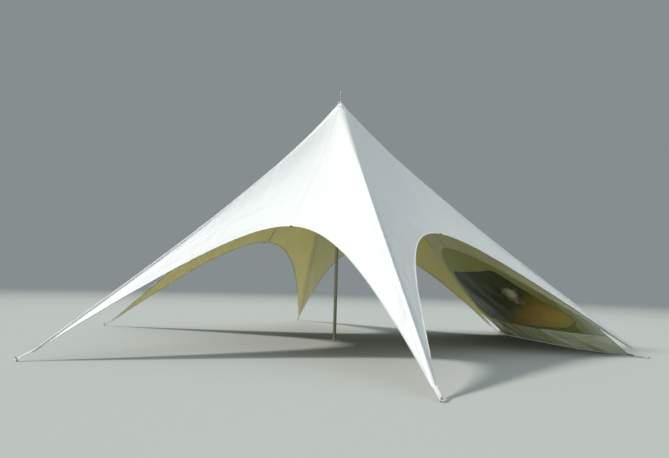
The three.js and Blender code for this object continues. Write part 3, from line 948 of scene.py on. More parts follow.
def softened(s, left, right, across, down, wide):
    """How far the cloth lies inside the plain membrane where a ridge is rounded near the crown."""
    inward, downward = -0.743, -0.669
    slope = share((0.34 - down) / 0.14) * share(down / 0.03) * s["soft_slope"] / (2 * s["soft_width"])
    drops = []
    for arm, away in ((left, across), (right, 1 - across)):
        into = at_least(s["soft_width"] - away * wide, 0.0)
        drop = into * into * slope
        drops.append((drop * inward * arm["cos"], drop * inward * arm["sin"], drop * downward))
    return [near + far for near, far in zip(*drops)]


def chart_area(chart):
    """Area of a flat grid of chart points."""
    return grid_area(np.concatenate([chart, 0 * chart[..., :1]], -1))


def grid_area(points):
    """Area of the surface over a grid of points."""
    first, second = np.diff(points, axis=0)[:, :-1], np.diff(points, axis=1)[:-1]
    return float(np.linalg.norm(np.cross(first, second), axis=-1).sum())


class TENT_OT_canopy(bpy.types.Operator):
    """Makes the six cloth panels"""

    bl_idname = "tent.canopy"
    bl_label = "Canopy panels"

    def execute(self, context):
        cloth = context.scene.tent_cloth
        # The outside gets painted shade beside the ridges along the arms.
        outside = cloth_finish("coated cloth outside", cloth.outside, (0.8, 0.82, 0.84),
                               (0.5, 0.5, 0.42), sheen=0.1, glow=0.2, painted_ridge_shade=0.6)
        # The linings' tan-olive colour is painted shade; over the wall the lining turns to painted light
        # towards arm F.
        inner = {"seam": (0.34, 0.33, 0.17), "dirt": (0.34, 0.33, 0.22), "glow": 0.7,
                 "relief": 0.0016, "streak": 0.5}
        painted_light_tone = tuple(context.scene.tent_wall.painted_light_lining)
        lining = cloth_finish("coated cloth lining", cloth.lining, **inner)
        walled = cloth_finish("coated cloth lining over the wall", cloth.lining,
                              fade=(painted_light_tone, 1.3, 3.1), **inner)
        tree = panel_tree()
        for panel in range(6):
            name = span_name(panel)
            sizes = tent_sizes(panel)
            values = {
                "Finish": outside, "Columns": cloth.columns + 1, "Rows": cloth.rows + 1,
                "Crown Start": cloth.crown_start, "Seed": float(cloth.seed + 13 * panel),
            }
            for key, label in {**SHAPE_INPUTS, **SOFT_INPUTS}.items():
                values[label] = sizes[key]
            for key, label in RELIEF_INPUTS.items():
                values[label] = getattr(cloth, key)
            for side, arm in (("Left", panel), ("Right", panel + 1)):
                for part, number in arm_numbers(arm).items():
                    values[f"{side} Arm {part.capitalize()}"] = float(number)
            piece = bake(tree, f"canopy_cloth_{name}", values)
            grid = (cloth.columns + 1, cloth.rows + 1, 3)
            PANEL_POINTS[panel] = stored_points(piece.data).reshape(grid)
            thicken(piece, cloth.depth, walled if panel == WALLED_ARCH else lining)
            keep_piece(piece, "canopy_cloth", f"canopy_panel_{name}")
            flat, area = flat_panel(panel)
        return {"FINISHED"}


class TENT_OT_webbing(bpy.types.Operator):
    """Makes the arch bindings, the webbing over and under the ridges and the panels' middle seams"""

    bl_idname = "tent.webbing"
    bl_label = "Webbing and seams"

    def execute(self, context):
        cloth = context.scene.tent_cloth
        self.cloth = cloth
        FINISHES["webbing"] = webbing_finish("white webbing", cloth.webbing, cloth.strap_width)
        FINISHES["binding"] = webbing_finish("white binding", cloth.webbing, cloth.hem_width)
        # The brown webbing's colour holds painted light from the cloth above it.
        FINISHES["tape"] = webbing_finish("brown webbing", cloth.tape, cloth.tape_width)
        FINISHES["seam"] = webbing_finish("lining seam", cloth.seam, cloth.seam_width)
        FINISHES["loop"] = webbing_finish("dark loop webbing", cloth.loop, 0.02)
        # Bindings' inner faces take the lining colour and its painted shade.
        FINISHES["lining binding"] = webbing_finish("lining binding", cloth.lining, cloth.hem_width)
        for panel in range(6):
            self.bind_arch(panel)
            self.sew_middle(panel)
            self.cover_ridge(panel)
        return {"FINISHED"}

    def bind_arch(self, panel):
        """A binding folded round the arched edge of a panel."""
        points = PANEL_POINTS[panel]
        across = eased(np.linspace(0, 1, points.shape[0]))
        ends = panel_end(tent_sizes(panel), arm_numbers(panel), arm_numbers(panel + 1), across)
        on_arch = np.nonzero(ends > 0.9999)[0]
        edge, inner = points[on_arch, -1], points[on_arch, -3]
        ahead = unit(np.gradient(edge, axis=0))
        out = facing(np.cross(unit(edge - inner), ahead), points_outward(panel))
        inward = facing(np.cross(out, ahead), inner - edge)
        middle = edge + inward * (self.cloth.hem_width / 2 - 0.003) - out * self.cloth.depth / 2
        name = f"arch_binding_{span_name(panel)}"
        piece = band(name, middle, out, self.cloth.hem_width, self.cloth.hem_depth, FINISHES["binding"])
        line_inside(piece, middle, out)
        keep_piece(piece, "webbing", f"arch_hem_{span_name(panel)}")
        crown = len(edge) // 2
        near = slice(crown - 1, crown + 2)
        reach = self.cloth.loop_reach
        hang = edge[near] - inward[near] * reach * 0.3
        loop = row_of("loops", f"arch_loop_{span_name(panel)}", hang, -inward[near], 0.5,
                      (reach, 0.02, 0.002, reach), FINISHES["loop"])
        keep_piece(loop, "webbing")

    def sew_middle(self, panel):
        """The seam under the middle of a panel, from the crown to its arch."""
        points = PANEL_POINTS[panel]
        middle = points.shape[0] // 2
        chain = points[middle, 6:-1]
        beside = points[middle + 1, 6:-1] - points[middle - 1, 6:-1]
        out = facing(np.cross(np.gradient(chain, axis=0), beside), points_outward(panel))
        name = f"middle_seam_{span_name(panel)}"
        width = self.cloth.seam_width
        piece = band(name, chain, out, width, 0.0024, FINISHES["seam"], lift=-self.cloth.depth - 0.0008)
        keep_piece(piece, "canopy_cloth")

    def cover_ridge(self, arm):
        """Webbing over a ridge, and a tape under it."""
        right, left = PANEL_POINTS[arm], PANEL_POINTS[(arm + 5) % 6][::-1]
        first = int(np.argmax(np.linalg.norm(right[0, :, :2], axis=-1) > 0.12))
        chain = right[0, first:]
        half = self.cloth.strap_width / 2
        sides = [beside_ridge(points[:, first:], half) - chain for points in (right, left)]
        side, out = frames_along(chain, np.cross(np.gradient(chain, axis=0), sides[0] - sides[1]))
        if out[len(out) // 2, 2] < 0:
            side, out = -side, -out
        slopes = {}
        for offset in sides:
            beside = np.sum(offset * side, axis=-1)
            slopes[beside[len(beside) // 2] > 0] = -np.sum(offset * out, axis=-1) / np.abs(beside)
        sink = np.stack([slopes[True], slopes[False], 0 * slopes[True]], -1)
        name = ARM_NAMES[arm]
        lift = self.cloth.strap_depth / 2 + GAP
        strap = band(f"ridge_webbing_{name}", chain, out, self.cloth.strap_width,
                     self.cloth.strap_depth, FINISHES["webbing"], lift, sink)
        keep_piece(strap, "webbing", f"ridge_strap_{name}")
        drop = -self.cloth.depth - 0.0016
        tape = band(f"ridge_tape_{name}", chain, out, self.cloth.tape_width, 0.0022,
                    FINISHES["tape"], drop, sink)
        keep_piece(tape, "webbing")


def line_inside(piece, middle, out):
    """Gives the faces on a binding's inner side the lining's colour with its painted shade, but not near
    the tips.
    """
    tip_share = 0.2
    piece.data.materials.append(FINISHES["lining binding"])
    tree = KDTree(len(middle))
    for number, point in enumerate(middle):
        tree.insert(point, number)
    tree.balance()
    for face in piece.data.polygons:
        nearest = tree.find(face.center)[1]
        near_tip = min(nearest, len(middle) - nearest) < len(middle) * tip_share
        face.material_index = int(np.dot(face.normal, out[nearest]) < -0.3 and not near_tip)


def beside_ridge(points, distance):
    """Points at a distance from the first line of a panel's grid, on each of its rows."""
    points = points[:24]
    run = run_along(points)
    found = np.empty((points.shape[1], 3))
    for row in range(points.shape[1]):
        for axis in range(3):
            found[row, axis] = np.interp(distance, run[:, row], points[:, row, axis])
    return found


def eased(step):
    """Grid steps drawn together towards both ridges."""
    return step - 0.55 * sine(step * (2 * math.pi)) / (2 * math.pi)


def points_outward(panel):
    """A direction that points away from the room under a panel."""
    outward, _ = panel_spread(tent_sizes(panel), arm_numbers(panel), arm_numbers(panel + 1))
    return np.array(outward) + np.array((0, 0, 1.0))


# Turned pieces and plates with a hole


def placed(mesh, matrix):
    """Moves a mesh to its place."""
    mesh.transform(matrix)
    mesh.update()
    return mesh


def rounded_corner(before, corner, after, radius, most, steps):
    """Points round a corner, which take at most a share of the lines before and after it."""
    before, corner, after = (np.array(point, float) for point in (before, corner, after))
    back, forth = before - corner, after - corner
    reach = min(radius, np.linalg.norm(back) * most, np.linalg.norm(forth) * most)
    start, end = corner + unit(back) * reach, corner + unit(forth) * reach
    along = np.linspace(0, 1, steps + 1)
    return [tuple(start * (1 - f) ** 2 + corner * 2 * f * (1 - f) + end * f * f) for f in along]


def rounded(profile, radius):
    """A (radius, height) profile with its inner corners rounded."""
    points = [profile[0]]
    for three in zip(profile, profile[1:], profile[2:]):
        points.extend(rounded_corner(*three, radius, 0.45, 4))
    return [*points, profile[-1]]


def lathe(name, profile, sides):
    """A surface turned about Z from (radius, height) points; a point at radius 0 closes it."""
    mesh = bpy.data.meshes.new(name)
    turns = [2 * math.pi * i / sides for i in range(sides)]
    rings = []
    with editing(mesh) as build:
        for radius, height in profile:
            if radius < 1e-6:
                rings.append([build.verts.new((0, 0, height))] * sides)
                continue
            points = [(radius * math.cos(t), radius * math.sin(t), height) for t in turns]
            rings.append([build.verts.new(point) for point in points])
        for lower, upper in zip(rings, rings[1:]):
            for i in range(sides):
                j = (i + 1) % sides
                each_once = dict.fromkeys((lower[i], lower[j], upper[j], upper[i]))
                build.faces.new(list(each_once))
    for face in mesh.polygons:
        face.use_smooth = True
    return mesh


def turned(name, profile, finish, radius, sides=64, matrix=Matrix()):
    """A piece turned from a profile whose corners are rounded by a radius."""
    return finished_turning(name, rounded(profile, radius), sides, finish, matrix)


def ring(name, middle, thickness, finish, matrix, flatness):
    """A rolled steel ring lying in its XY plane."""
    turns = np.linspace(0, 2 * math.pi, 13)
    profile = [(middle + thickness * math.cos(a), thickness * flatness * math.sin(a)) for a in turns]
    return finished_turning(name, profile, 40, finish, matrix)


def finished_turning(name, profile, sides, finish, matrix):
    """Turns a profile, sets it in its place and gives it its finish."""
    piece = add_object(name, placed(lathe(name, profile, sides), matrix))
    face_outwards(piece.data)
    piece.data.materials.append(finish)
    return piece


def ray_reach(outline, centre, angles):
    """How far a closed outline lies from a centre at each angle."""
    first = outline - centre
    second = np.roll(outline, -1, axis=0) - centre
    edge = second - first
    ray = np.stack([np.cos(angles), np.sin(angles)], -1)
    cross = ray[:, None, 0] * edge[None, :, 1] - ray[:, None, 1] * edge[None, :, 0]
    with np.errstate(divide="ignore", invalid="ignore"):
        along = (first[None, :, 0] * edge[None, :, 1] - first[None, :, 1] * edge[None, :, 0]) / cross
        part = (first[None, :, 0] * ray[:, None, 1] - first[None, :, 1] * ray[:, None, 0]) / cross
    good = (np.abs(cross) > 1e-12) & (along > 0) & (part >= -1e-6) & (part <= 1 + 1e-6)
    return np.where(good, along, np.inf).min(axis=1)


def smoothed_outline(corners, radius):
    """A closed outline with rounded corners."""
    points = []
    for three in zip((corners[-1], *corners), corners, (*corners[1:], corners[0])):
        points.extend(rounded_corner(*three, radius, 0.48, 10))
    return np.array(points)


def angles_round(centre, corners, count):
    """Even turns round a centre, with the turns of the corners among them."""
    corners = np.arctan2(*(corners - centre).T[::-1])
    angles = np.unique(np.concatenate([np.linspace(-math.pi, math.pi, count + 1)[:-1], corners]))
    return np.append(angles, angles[0] + 2 * math.pi)


def ring_grid(inner, outer, centre, angles, steps):
    """Points between two closed outlines, on rays from a centre."""
    low, high = ray_reach(inner, centre, angles), ray_reach(outer, centre, angles)
    ray = np.stack([np.cos(angles), np.sin(angles)], -1)
    reach = low + (high - low) * np.linspace(0, 1, steps + 1)[:, None]
    return centre + ray * reach[..., None]


def eyelet_plate(name, outline, eyelet, hole, depth, finish, matrix):
    """A webbing plate with a round hole at its eyelet, lying under its own XY plane."""
    outline = np.asarray(outline, float)
    centre = np.array(eyelet, float)
    angles = angles_round(centre, outline, 96)
    rim = centre + hole * np.stack([np.cos(angles), np.sin(angles)], -1)
    flat = ring_grid(rim[:-1], outline, centre, angles, 8)
    points = np.concatenate([flat, np.zeros((*flat.shape[:2], 1))], -1)
    mesh = placed(grid_mesh(name, points, flat[..., ::-1]), matrix)
    piece = add_object(name, mesh)
    weld(mesh)
    if np.dot(mesh.polygons[0].normal, matrix.to_3x3() @ Vector((0, 0, 1))) < 0:
        mesh.flip_normals()
    mesh.materials.append(finish)
    solid = piece.modifiers.new("Thickness", "SOLIDIFY")
    solid.thickness = depth
    solid.offset = -1
    round_off = piece.modifiers.new("Round", "BEVEL")
    round_off.width = depth * 0.25
    round_off.segments = 2
    round_off.limit_method = "ANGLE"
    return settle(piece)


def weld(mesh):
    """Merges the doubled points along a mesh's seams."""
    with editing(mesh) as build:
        bmesh.ops.remove_doubles(build, verts=build.verts, dist=1e-5)


def cut_at_ground(mesh):
    """Cuts a closed mesh off at the ground and closes it there."""
    with editing(mesh) as build:
        whole = [*build.verts, *build.edges, *build.faces]
        ground, up = (0, 0, 0), (0, 0, 1)
        bmesh.ops.bisect_plane(build, geom=whole, plane_co=ground, plane_no=up, clear_inner=True)
        bmesh.ops.holes_fill(build, edges=[e for e in build.edges if e.is_boundary])
        bmesh.ops.recalc_face_normals(build, faces=build.faces)


def tab_outline(start, neck, end, width):
    """A webbing tab from its neck, which lies under the cloth, to its rounded end."""
    half, roundness = width / 2, 2.4
    outline = [(start, -neck / 2)]
    for y in np.linspace(-half, half, 9):
        outline.append((end - half / 2 * (abs(y) / half) ** roundness, y))
    return [*outline, (start, neck / 2)]


def pressed_eyelet(name, place, middle, thickness):
    """A steel eyelet pressed round the hole of a tab, flattened against it."""
    seat = place @ Matrix.Translation((0, 0, 0.0004))
    keep_piece(ring(name, middle, thickness, FINISHES["steel"], seat, 0.42), "stake_steel")


def drive_stake(name, node, place, radius, head, top, rounding, sides):
    """A steel stake through an eyelet. Its head is given by its radius and its lower and upper face."""
    head_radius, low, high = head
    profile = [
        (0, -STAKE_BURIED), (radius, -STAKE_BURIED), (radius, low), (head_radius, low),
        (head_radius, high), (radius, high), (radius, top - radius / 2), (radius / 2, top), (0, top),
    ]
    stake = turned(name, profile, FINISHES["steel"], rounding, sides, place)
    cut_at_ground(stake.data)
    keep_piece(stake, "stake_steel", node)


def metal_finish(name, base, grain_along_z=True, roughness=0.34, metallic=1.0):
    """Drawn metal with fine lines along it, faint stains and handling marks."""
    finish = Finish(name, roughness, metallic)
    x, y, z = finish.place()
    lines = finish.noise(x * 420, y * 420, z * (6 if grain_along_z else 420))
    marks = finish.noise(x * 16, y * 16, z * 5)
    stains = share((finish.noise(x * 5, y * 5, z * 1.3) - 0.55) * 4)
    tone = finish.mixed(marks * 0.6, rgba(base, 1.06), rgba(base, 0.8))
    tone = finish.mixed(stains * 0.35, tone, rgba(base, 0.62))
    rough = roughness + marks * 0.16 + stains * 0.12
    return finish.close(tone, lines * 0.00006, rough)


class TENT_OT_pole(bpy.types.Operator):
    """Makes the centre pole, its base, its head and the pin on top"""

    bl_idname = "tent.pole"
    bl_label = "Centre pole"

    def execute(self, context):
        sizes = context.scene.tent_pole
        # The aluminium's colour holds painted shade.
        FINISHES["aluminium"] = metal_finish("drawn aluminium", sizes.aluminium, metallic=0.7)
        FINISHES["steel"] = metal_finish("galvanised steel", sizes.steel, False, 0.42)
        self.make_base(sizes)
        self.make_sections(sizes)
        self.make_head()
        return {"FINISHED"}

    def make_base(self, sizes):
        """Plate, collar, the weld between them and the plate's four bolts."""
        low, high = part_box("pole_base_plate")
        plate_corner, plate_edge, bolt_offset = 0.022, 0.0015, 0.092
        bevel = {"affect": "EDGES", "profile": 0.5}
        plate = add_object("pole_foot_plate", bpy.data.meshes.new("pole_foot_plate"))
        with editing(plate.data) as build:
            bmesh.ops.create_cube(build, size=1.0)
            for vert in build.verts:
                vert.co = [low[i] + (vert.co[i] + 0.5) * (high[i] - low[i]) for i in range(3)]
            upright = [e for e in build.edges if abs(e.verts[0].co.z - e.verts[1].co.z) > 0.001]
            bmesh.ops.bevel(build, geom=upright, offset=plate_corner, segments=8, **bevel)
            upper = [e for e in build.edges if all(v.co.z > high[2] - 1e-5 for v in e.verts)]
            bmesh.ops.bevel(build, geom=upper, offset=plate_edge, segments=2, **bevel)
        plate.data.materials.append(FINISHES["steel"])
        keep_piece(plate, "pole_aluminium", "pole_base_plate")
        low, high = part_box("pole_base_collar")
        bore = sizes.radius + 0.0004
        profile = [(bore, high[2] - 0.002), (bore, low[2]), (high[0], low[2]), (high[0], high[2]),
                   (bore, high[2]), (bore, high[2] - 0.002)]
        collar = turned("pole_foot_collar", profile, FINISHES["steel"], 0.0025)
        keep_piece(collar, "pole_aluminium", "pole_base_collar")
        foot = Matrix.Translation((0, 0, low[2] + 0.002))
        bead = ring("pole_foot_weld", high[0] + 0.001, 0.0045, FINISHES["steel"], foot, 1.0)
        keep_piece(bead, "pole_aluminium")
        corners = [(x, y) for x in (-bolt_offset, bolt_offset) for y in (-bolt_offset, bolt_offset)]
        for number, (x, y) in enumerate(corners, 1):
            profile = [(0, 0.0075), (0.0105, 0.0075), (0.0105, 0.014), (0.006, 0.0155), (0, 0.0155)]
            bolt = turned(f"pole_foot_bolt_{number}", profile, FINISHES["steel"], 0.001, 6,
                          Matrix.Translation((x, y, 0)))
            keep_piece(bolt, "pole_aluminium")

    def make_sections(self, sizes):
        """Three tubes. The lower two end in a swaged sleeve with a pair of snap buttons."""
        radius, swage = sizes.radius, sizes.radius + 0.0022
        for place in ("lower", "middle", "upper"):
            low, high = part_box(f"pole_{place}_section")
            top = high[2]
            profile = [(0, low[2]), (radius - 0.001, low[2]), (radius, low[2] + 0.003)]
            if place == "upper":
                profile += [(radius, top), (0, top)]
            else:
                profile += [(radius, top - 0.05), (swage, top - 0.046), (swage, top), (0, top)]
            tube = turned(f"pole_tube_{place}", profile, FINISHES["aluminium"], 0.002)
            keep_piece(tube, "pole_aluminium", f"pole_{place}_section")
            if place != "upper":
                self.make_buttons(place, radius, top - 0.024)

    @staticmethod
    def make_buttons(place, radius, height):
        """Two snap buttons that stand out of a tube on opposite sides."""
        profile = [(0.0, radius - 0.002), (0.0055, radius - 0.002), (0.0055, radius + 0.0035),
                   (0.003, radius + 0.0055), (0, radius + 0.006)]
        for side in (0, 1):
            turn = Matrix.Rotation(math.radians(-100 + 180 * side), 4, "Z")
            seat = Matrix.Translation((0, 0, height)) @ turn @ Matrix.Rotation(math.pi / 2, 4, "Y")
            name = f"pole_snap_button_{place}_{side + 1}"
            keep_piece(turned(name, profile, FINISHES["steel"], 0.001, 20, seat), "pole_aluminium")

    def make_head(self):
        """The head that spreads the cloth, and the pin that stands on it."""
        low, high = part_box("pole_head")
        rim, tip = high[0], 0.016
        profile = [(0, low[2]), (rim - 0.03, low[2]), (rim, low[2] + 0.006), (rim, low[2] + 0.016),
                   (0.06, (low[2] + high[2]) / 2 + 0.003), (tip, high[2]), (0, high[2])]
        head = turned("pole_crown_head", profile, FINISHES["aluminium"], 0.006)
        keep_piece(head, "pole_aluminium", "pole_head")
        low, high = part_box("finial_pin")
        radius = high[0]
        profile = [(0, low[2]), (radius, low[2]), (radius, high[2] - 0.012),
                   (radius * 0.75, high[2] - 0.004), (radius * 0.35, high[2]), (0, high[2])]
        pin = turned("crown_pin", profile, FINISHES["steel"], 0.002, 32)
        keep_piece(pin, "pole_aluminium", "finial_pin")


class TENT_OT_crown(bpy.types.Operator):
    """Makes the cloth cap over the crown"""

    bl_idname = "tent.crown"
    bl_label = "Crown cap"

    def execute(self, context):
        start, end, rows = 0.0025, 0.0252, 14
        cap_depth, binding_width, binding_depth = 0.003, 0.014, 0.0042
        reach, peak = tent_sizes()["reach"], tent_sizes()["peak"]
        down = np.linspace(start, end, rows)
        turns = [(panel, across) for panel in range(6) for across in np.linspace(0, 1, 15)[:-1]]
        grid = np.stack([self.worn(panel, across, down) for panel, across in turns], 1)
        grid = np.concatenate([grid, grid[:, :1]], 1)
        flat = np.array((1.0, 1.0, 0.0))
        out = unit(unit(grid * flat) * 0.82 + np.array((0, 0, 0.57)))
        points = grid + out * np.linspace(0.009, 0.006, rows)[:, None, None]
        radius, slant = end * reach, end * math.hypot(reach, peak)
        run = np.linspace(0, 2 * math.pi * CAP_RADIUS, points.shape[1])
        uv = np.stack(np.broadcast_arrays(run[None, :], (down * reach)[:, None]), -1)
        name = "crown_cap_cloth"
        piece = add_object(name, grid_mesh(name, points, uv))
        weld(piece.data)
        orient(piece.data, lambda centre: np.array((centre[0], centre[1], 0.1)))
        piece.data.materials.append(bpy.data.materials["coated cloth outside"])
        thicken(piece, cap_depth)
        keep_piece(piece, "canopy_cloth", "crown_cap")
        2 * slant
        2 * slant
        math.pi * radius * slant
        rim = points[-1]
        edge_out = unit(rim * flat + np.array((0, 0, 0.1)))
        edge = band("crown_cap_binding", rim - edge_out * cap_depth / 2, edge_out, binding_width,
                    binding_depth, FINISHES["binding"])
        keep_piece(edge, "webbing")
        return {"FINISHED"}

    @staticmethod
    def worn(panel, across, down):
        """Points of the membrane with its ridges rounded."""
        wide = np.linalg.norm(ridge(panel, down) - ridge(panel + 1, down), axis=-1)
        arms = arm_numbers(panel), arm_numbers(panel + 1)
        drops = softened(tent_sizes(panel), *arms, across, down, wide)
        return surface(panel, across, down) + np.stack(drops, -1)


def orient(mesh, outward_at):
    """Turns a sheet's faces to the side that outward_at gives at a face's centre."""
    face = mesh.polygons[len(mesh.polygons) // 2]
    if np.dot(face.normal, outward_at(face.center)) < 0:
        mesh.flip_normals()


class TENT_OT_tips(bpy.types.Operator):
    """Makes the webbing tabs, eyelets and ground stakes at the arm tips"""

    bl_idname = "tent.tips"
    bl_label = "Arm tips"

    def execute(self, context):
        sizes = context.scene.tent_pole
        finish = webbing_finish("tip webbing", context.scene.tent_cloth.webbing, sizes.tab_width)
        s = tent_sizes()
        end_height = float(ridge(1, s["cloth_end"] / s["reach"])[2])
        slope = math.atan2(end_height, sizes.tab_ground_reach - s["cloth_end"])
        start = s["cloth_end"] + 2 * GAP + sizes.tab_depth * math.sin(slope)
        along = (sizes.eyelet_reach - start) / math.cos(slope)
        height = (sizes.tab_ground_reach - start) * math.tan(slope)
        shank, end_margin, top = sizes.stake_radius, 0.034, 0.044
        head = (0.017, 0.0025, 0.0095)
        outline = tab_outline(-0.004, sizes.tab_neck, along + end_margin, sizes.tab_width)
        for arm, name in enumerate(ARM_NAMES):
            turn = Matrix.Rotation(math.radians(ARM_ANGLES[arm]), 4, "Z")
            place = turn @ Matrix.Translation((start, 0, height)) @ Matrix.Rotation(slope, 4, "Y")
            tab = eyelet_plate(f"tip_webbing_{name}", outline, (along, 0.0), shank + 0.0006,
                               sizes.tab_depth, finish, place)
            keep_piece(tab, "webbing", f"arm_{name}_tip_tab")
            self.make_sleeve(arm, name, place, along)
            hole = place @ Matrix.Translation((along, 0, 0))
            pressed_eyelet(f"tip_eyelet_{name}", hole, shank + 0.0062, 0.0055)
            drive_stake(f"ground_stake_{name}", f"arm_{name}_stake", hole, shank, head, top, 0.0012, 36)
        return {"FINISHED"}

    def make_sleeve(self, arm, name, place, along):
        """Webbing sewn over an arm's end and its tab, with a stitched box on the tab."""
        cloth = bpy.context.scene.tent_cloth
        right, left = PANEL_POINTS[arm], PANEL_POINTS[(arm + 5) % 6][::-1]
        reach = np.linalg.norm(right[0, :, :2], axis=-1)
        on_arm, half = 0.34, 0.018
        first = int(np.argmax(reach > reach[-1] - on_arm))
        on_cloth = right[0, first:-1]
        sides = [beside_ridge(points[:, first:-1], half) - on_cloth for points in (right, left)]
        flat = np.array([place @ Vector((x, 0.0, 0.0)) for x in np.linspace(0.03, along - 0.055, 9)])
        chain = np.concatenate([on_cloth, flat])
        normal = place.to_3x3() @ Vector((0, 0, 1))
        out = np.concatenate([np.cross(np.gradient(on_cloth, axis=0), sides[0] - sides[1]),
                              np.tile(normal, (len(flat), 1)) * 1e-3])
        out = unit(out)
        out *= np.sign(out[:, 2:])
        slopes = [-np.sum(side * out[:len(on_cloth)], axis=-1) / half for side in sides]
        slope = np.concatenate([np.mean(slopes, axis=0), np.zeros(len(flat))])
        for _ in range(6):
            chain[1:-1] = (chain[:-2] + 2 * chain[1:-1] + chain[2:]) / 4
            out[1:-1] = unit(out[:-2] + 2 * out[1:-1] + out[2:])
            slope[1:-1] = (slope[:-2] + 2 * slope[1:-1] + slope[2:]) / 4
        sink = np.stack([slope, slope, 0 * slope], -1)
        lift = np.linspace(cloth.strap_depth + 0.0025, 0.0016, len(chain))[:, None]
        width, depth = 0.048, 0.003
        sleeve = band(f"tip_sleeve_{name}", chain + out * lift, out, width, depth, FINISHES["webbing"],
                      sink=sink)
        keep_piece(sleeve, "webbing")
        self.stitch_box(name, place, along - 0.062)

    @staticmethod
    def stitch_box(name, place, far):
        """A box of stitches with a cross in it, from the tab's neck to a distance along it."""
        near, side, height = 0.06, 0.016, 0.0036
        spacing, stitch = 0.0072, (0.0056, 0.0013, 0.0011, 0.0)
        corners = np.array([(near, -side), (far, -side), (far, side), (near, side), (near, -side),
                            (far, side), (far, -side), (near, side)])
        path = []
        for start, end in zip(corners, corners[1:]):
            path.extend(start + (end - start) * np.linspace(0, 1, 24)[:-1, None])
        path = np.array([place @ Vector((x, y, height)) for x, y in path])
        out = np.tile(place.to_3x3() @ Vector((0, 0, 1)), (len(path), 1))
        row = row_of("stitches", f"tip_stitching_{name}", path, out, spacing, stitch, FINISHES["webbing"])
        keep_piece(row, "webbing")


# Sidewall: its chart runs x from the tip of arm E towards arm F, and y up the plane of its window


WINDOW_CORNERS = ((0.9, 0.82), (2.0, 2.545), (4.12, 2.545), (5.22, 0.82), (4.91, 0.61), (1.21, 0.61))
WINDOW_CENTRE = np.array((3.06, 1.5))
# The folds fade out towards these two x, and the UV map has its origin at this y
WALL_STARTS, WALL_STOPS = 0.51, 5.61
UV_LOW = 0.31
EDGE_CLEARANCE = 0.0006
# A fold's points from its top to the ground, with x from the tip of arm F, its strength and its width
FOLD_LINES = (
    (((2.6, 0.95), (2.34, 0.59), (2.17, 0.38), (1.97, 0.22), (1.74, 0.09), (1.51, -0.04)), 1.0, 0.11),
    (((1.3, 0.9), (1.1, 0.61), (0.86, 0.36), (0.63, 0.06), (0.48, -0.14)), 0.6, 0.08),
    (((1.95, 0.85), (1.71, 0.57), (1.39, 0.34), (1.09, 0.07), (0.87, -0.13)), 0.6, 0.08),
    (((3.3, 0.9), (3.1, 0.6), (2.9, 0.35), (2.6, 0.12), (2.4, -0.05)), 0.45, 0.1),
    (((4.2, 0.9), (4.1, 0.6), (3.9, 0.35), (3.7, 0.12), (3.5, -0.05)), 0.3, 0.16),
    (((5.0, 0.7), (5.02, 0.5), (5.0, 0.3), (4.95, 0.1), (4.9, -0.05)), 0.3, 0.12),
)


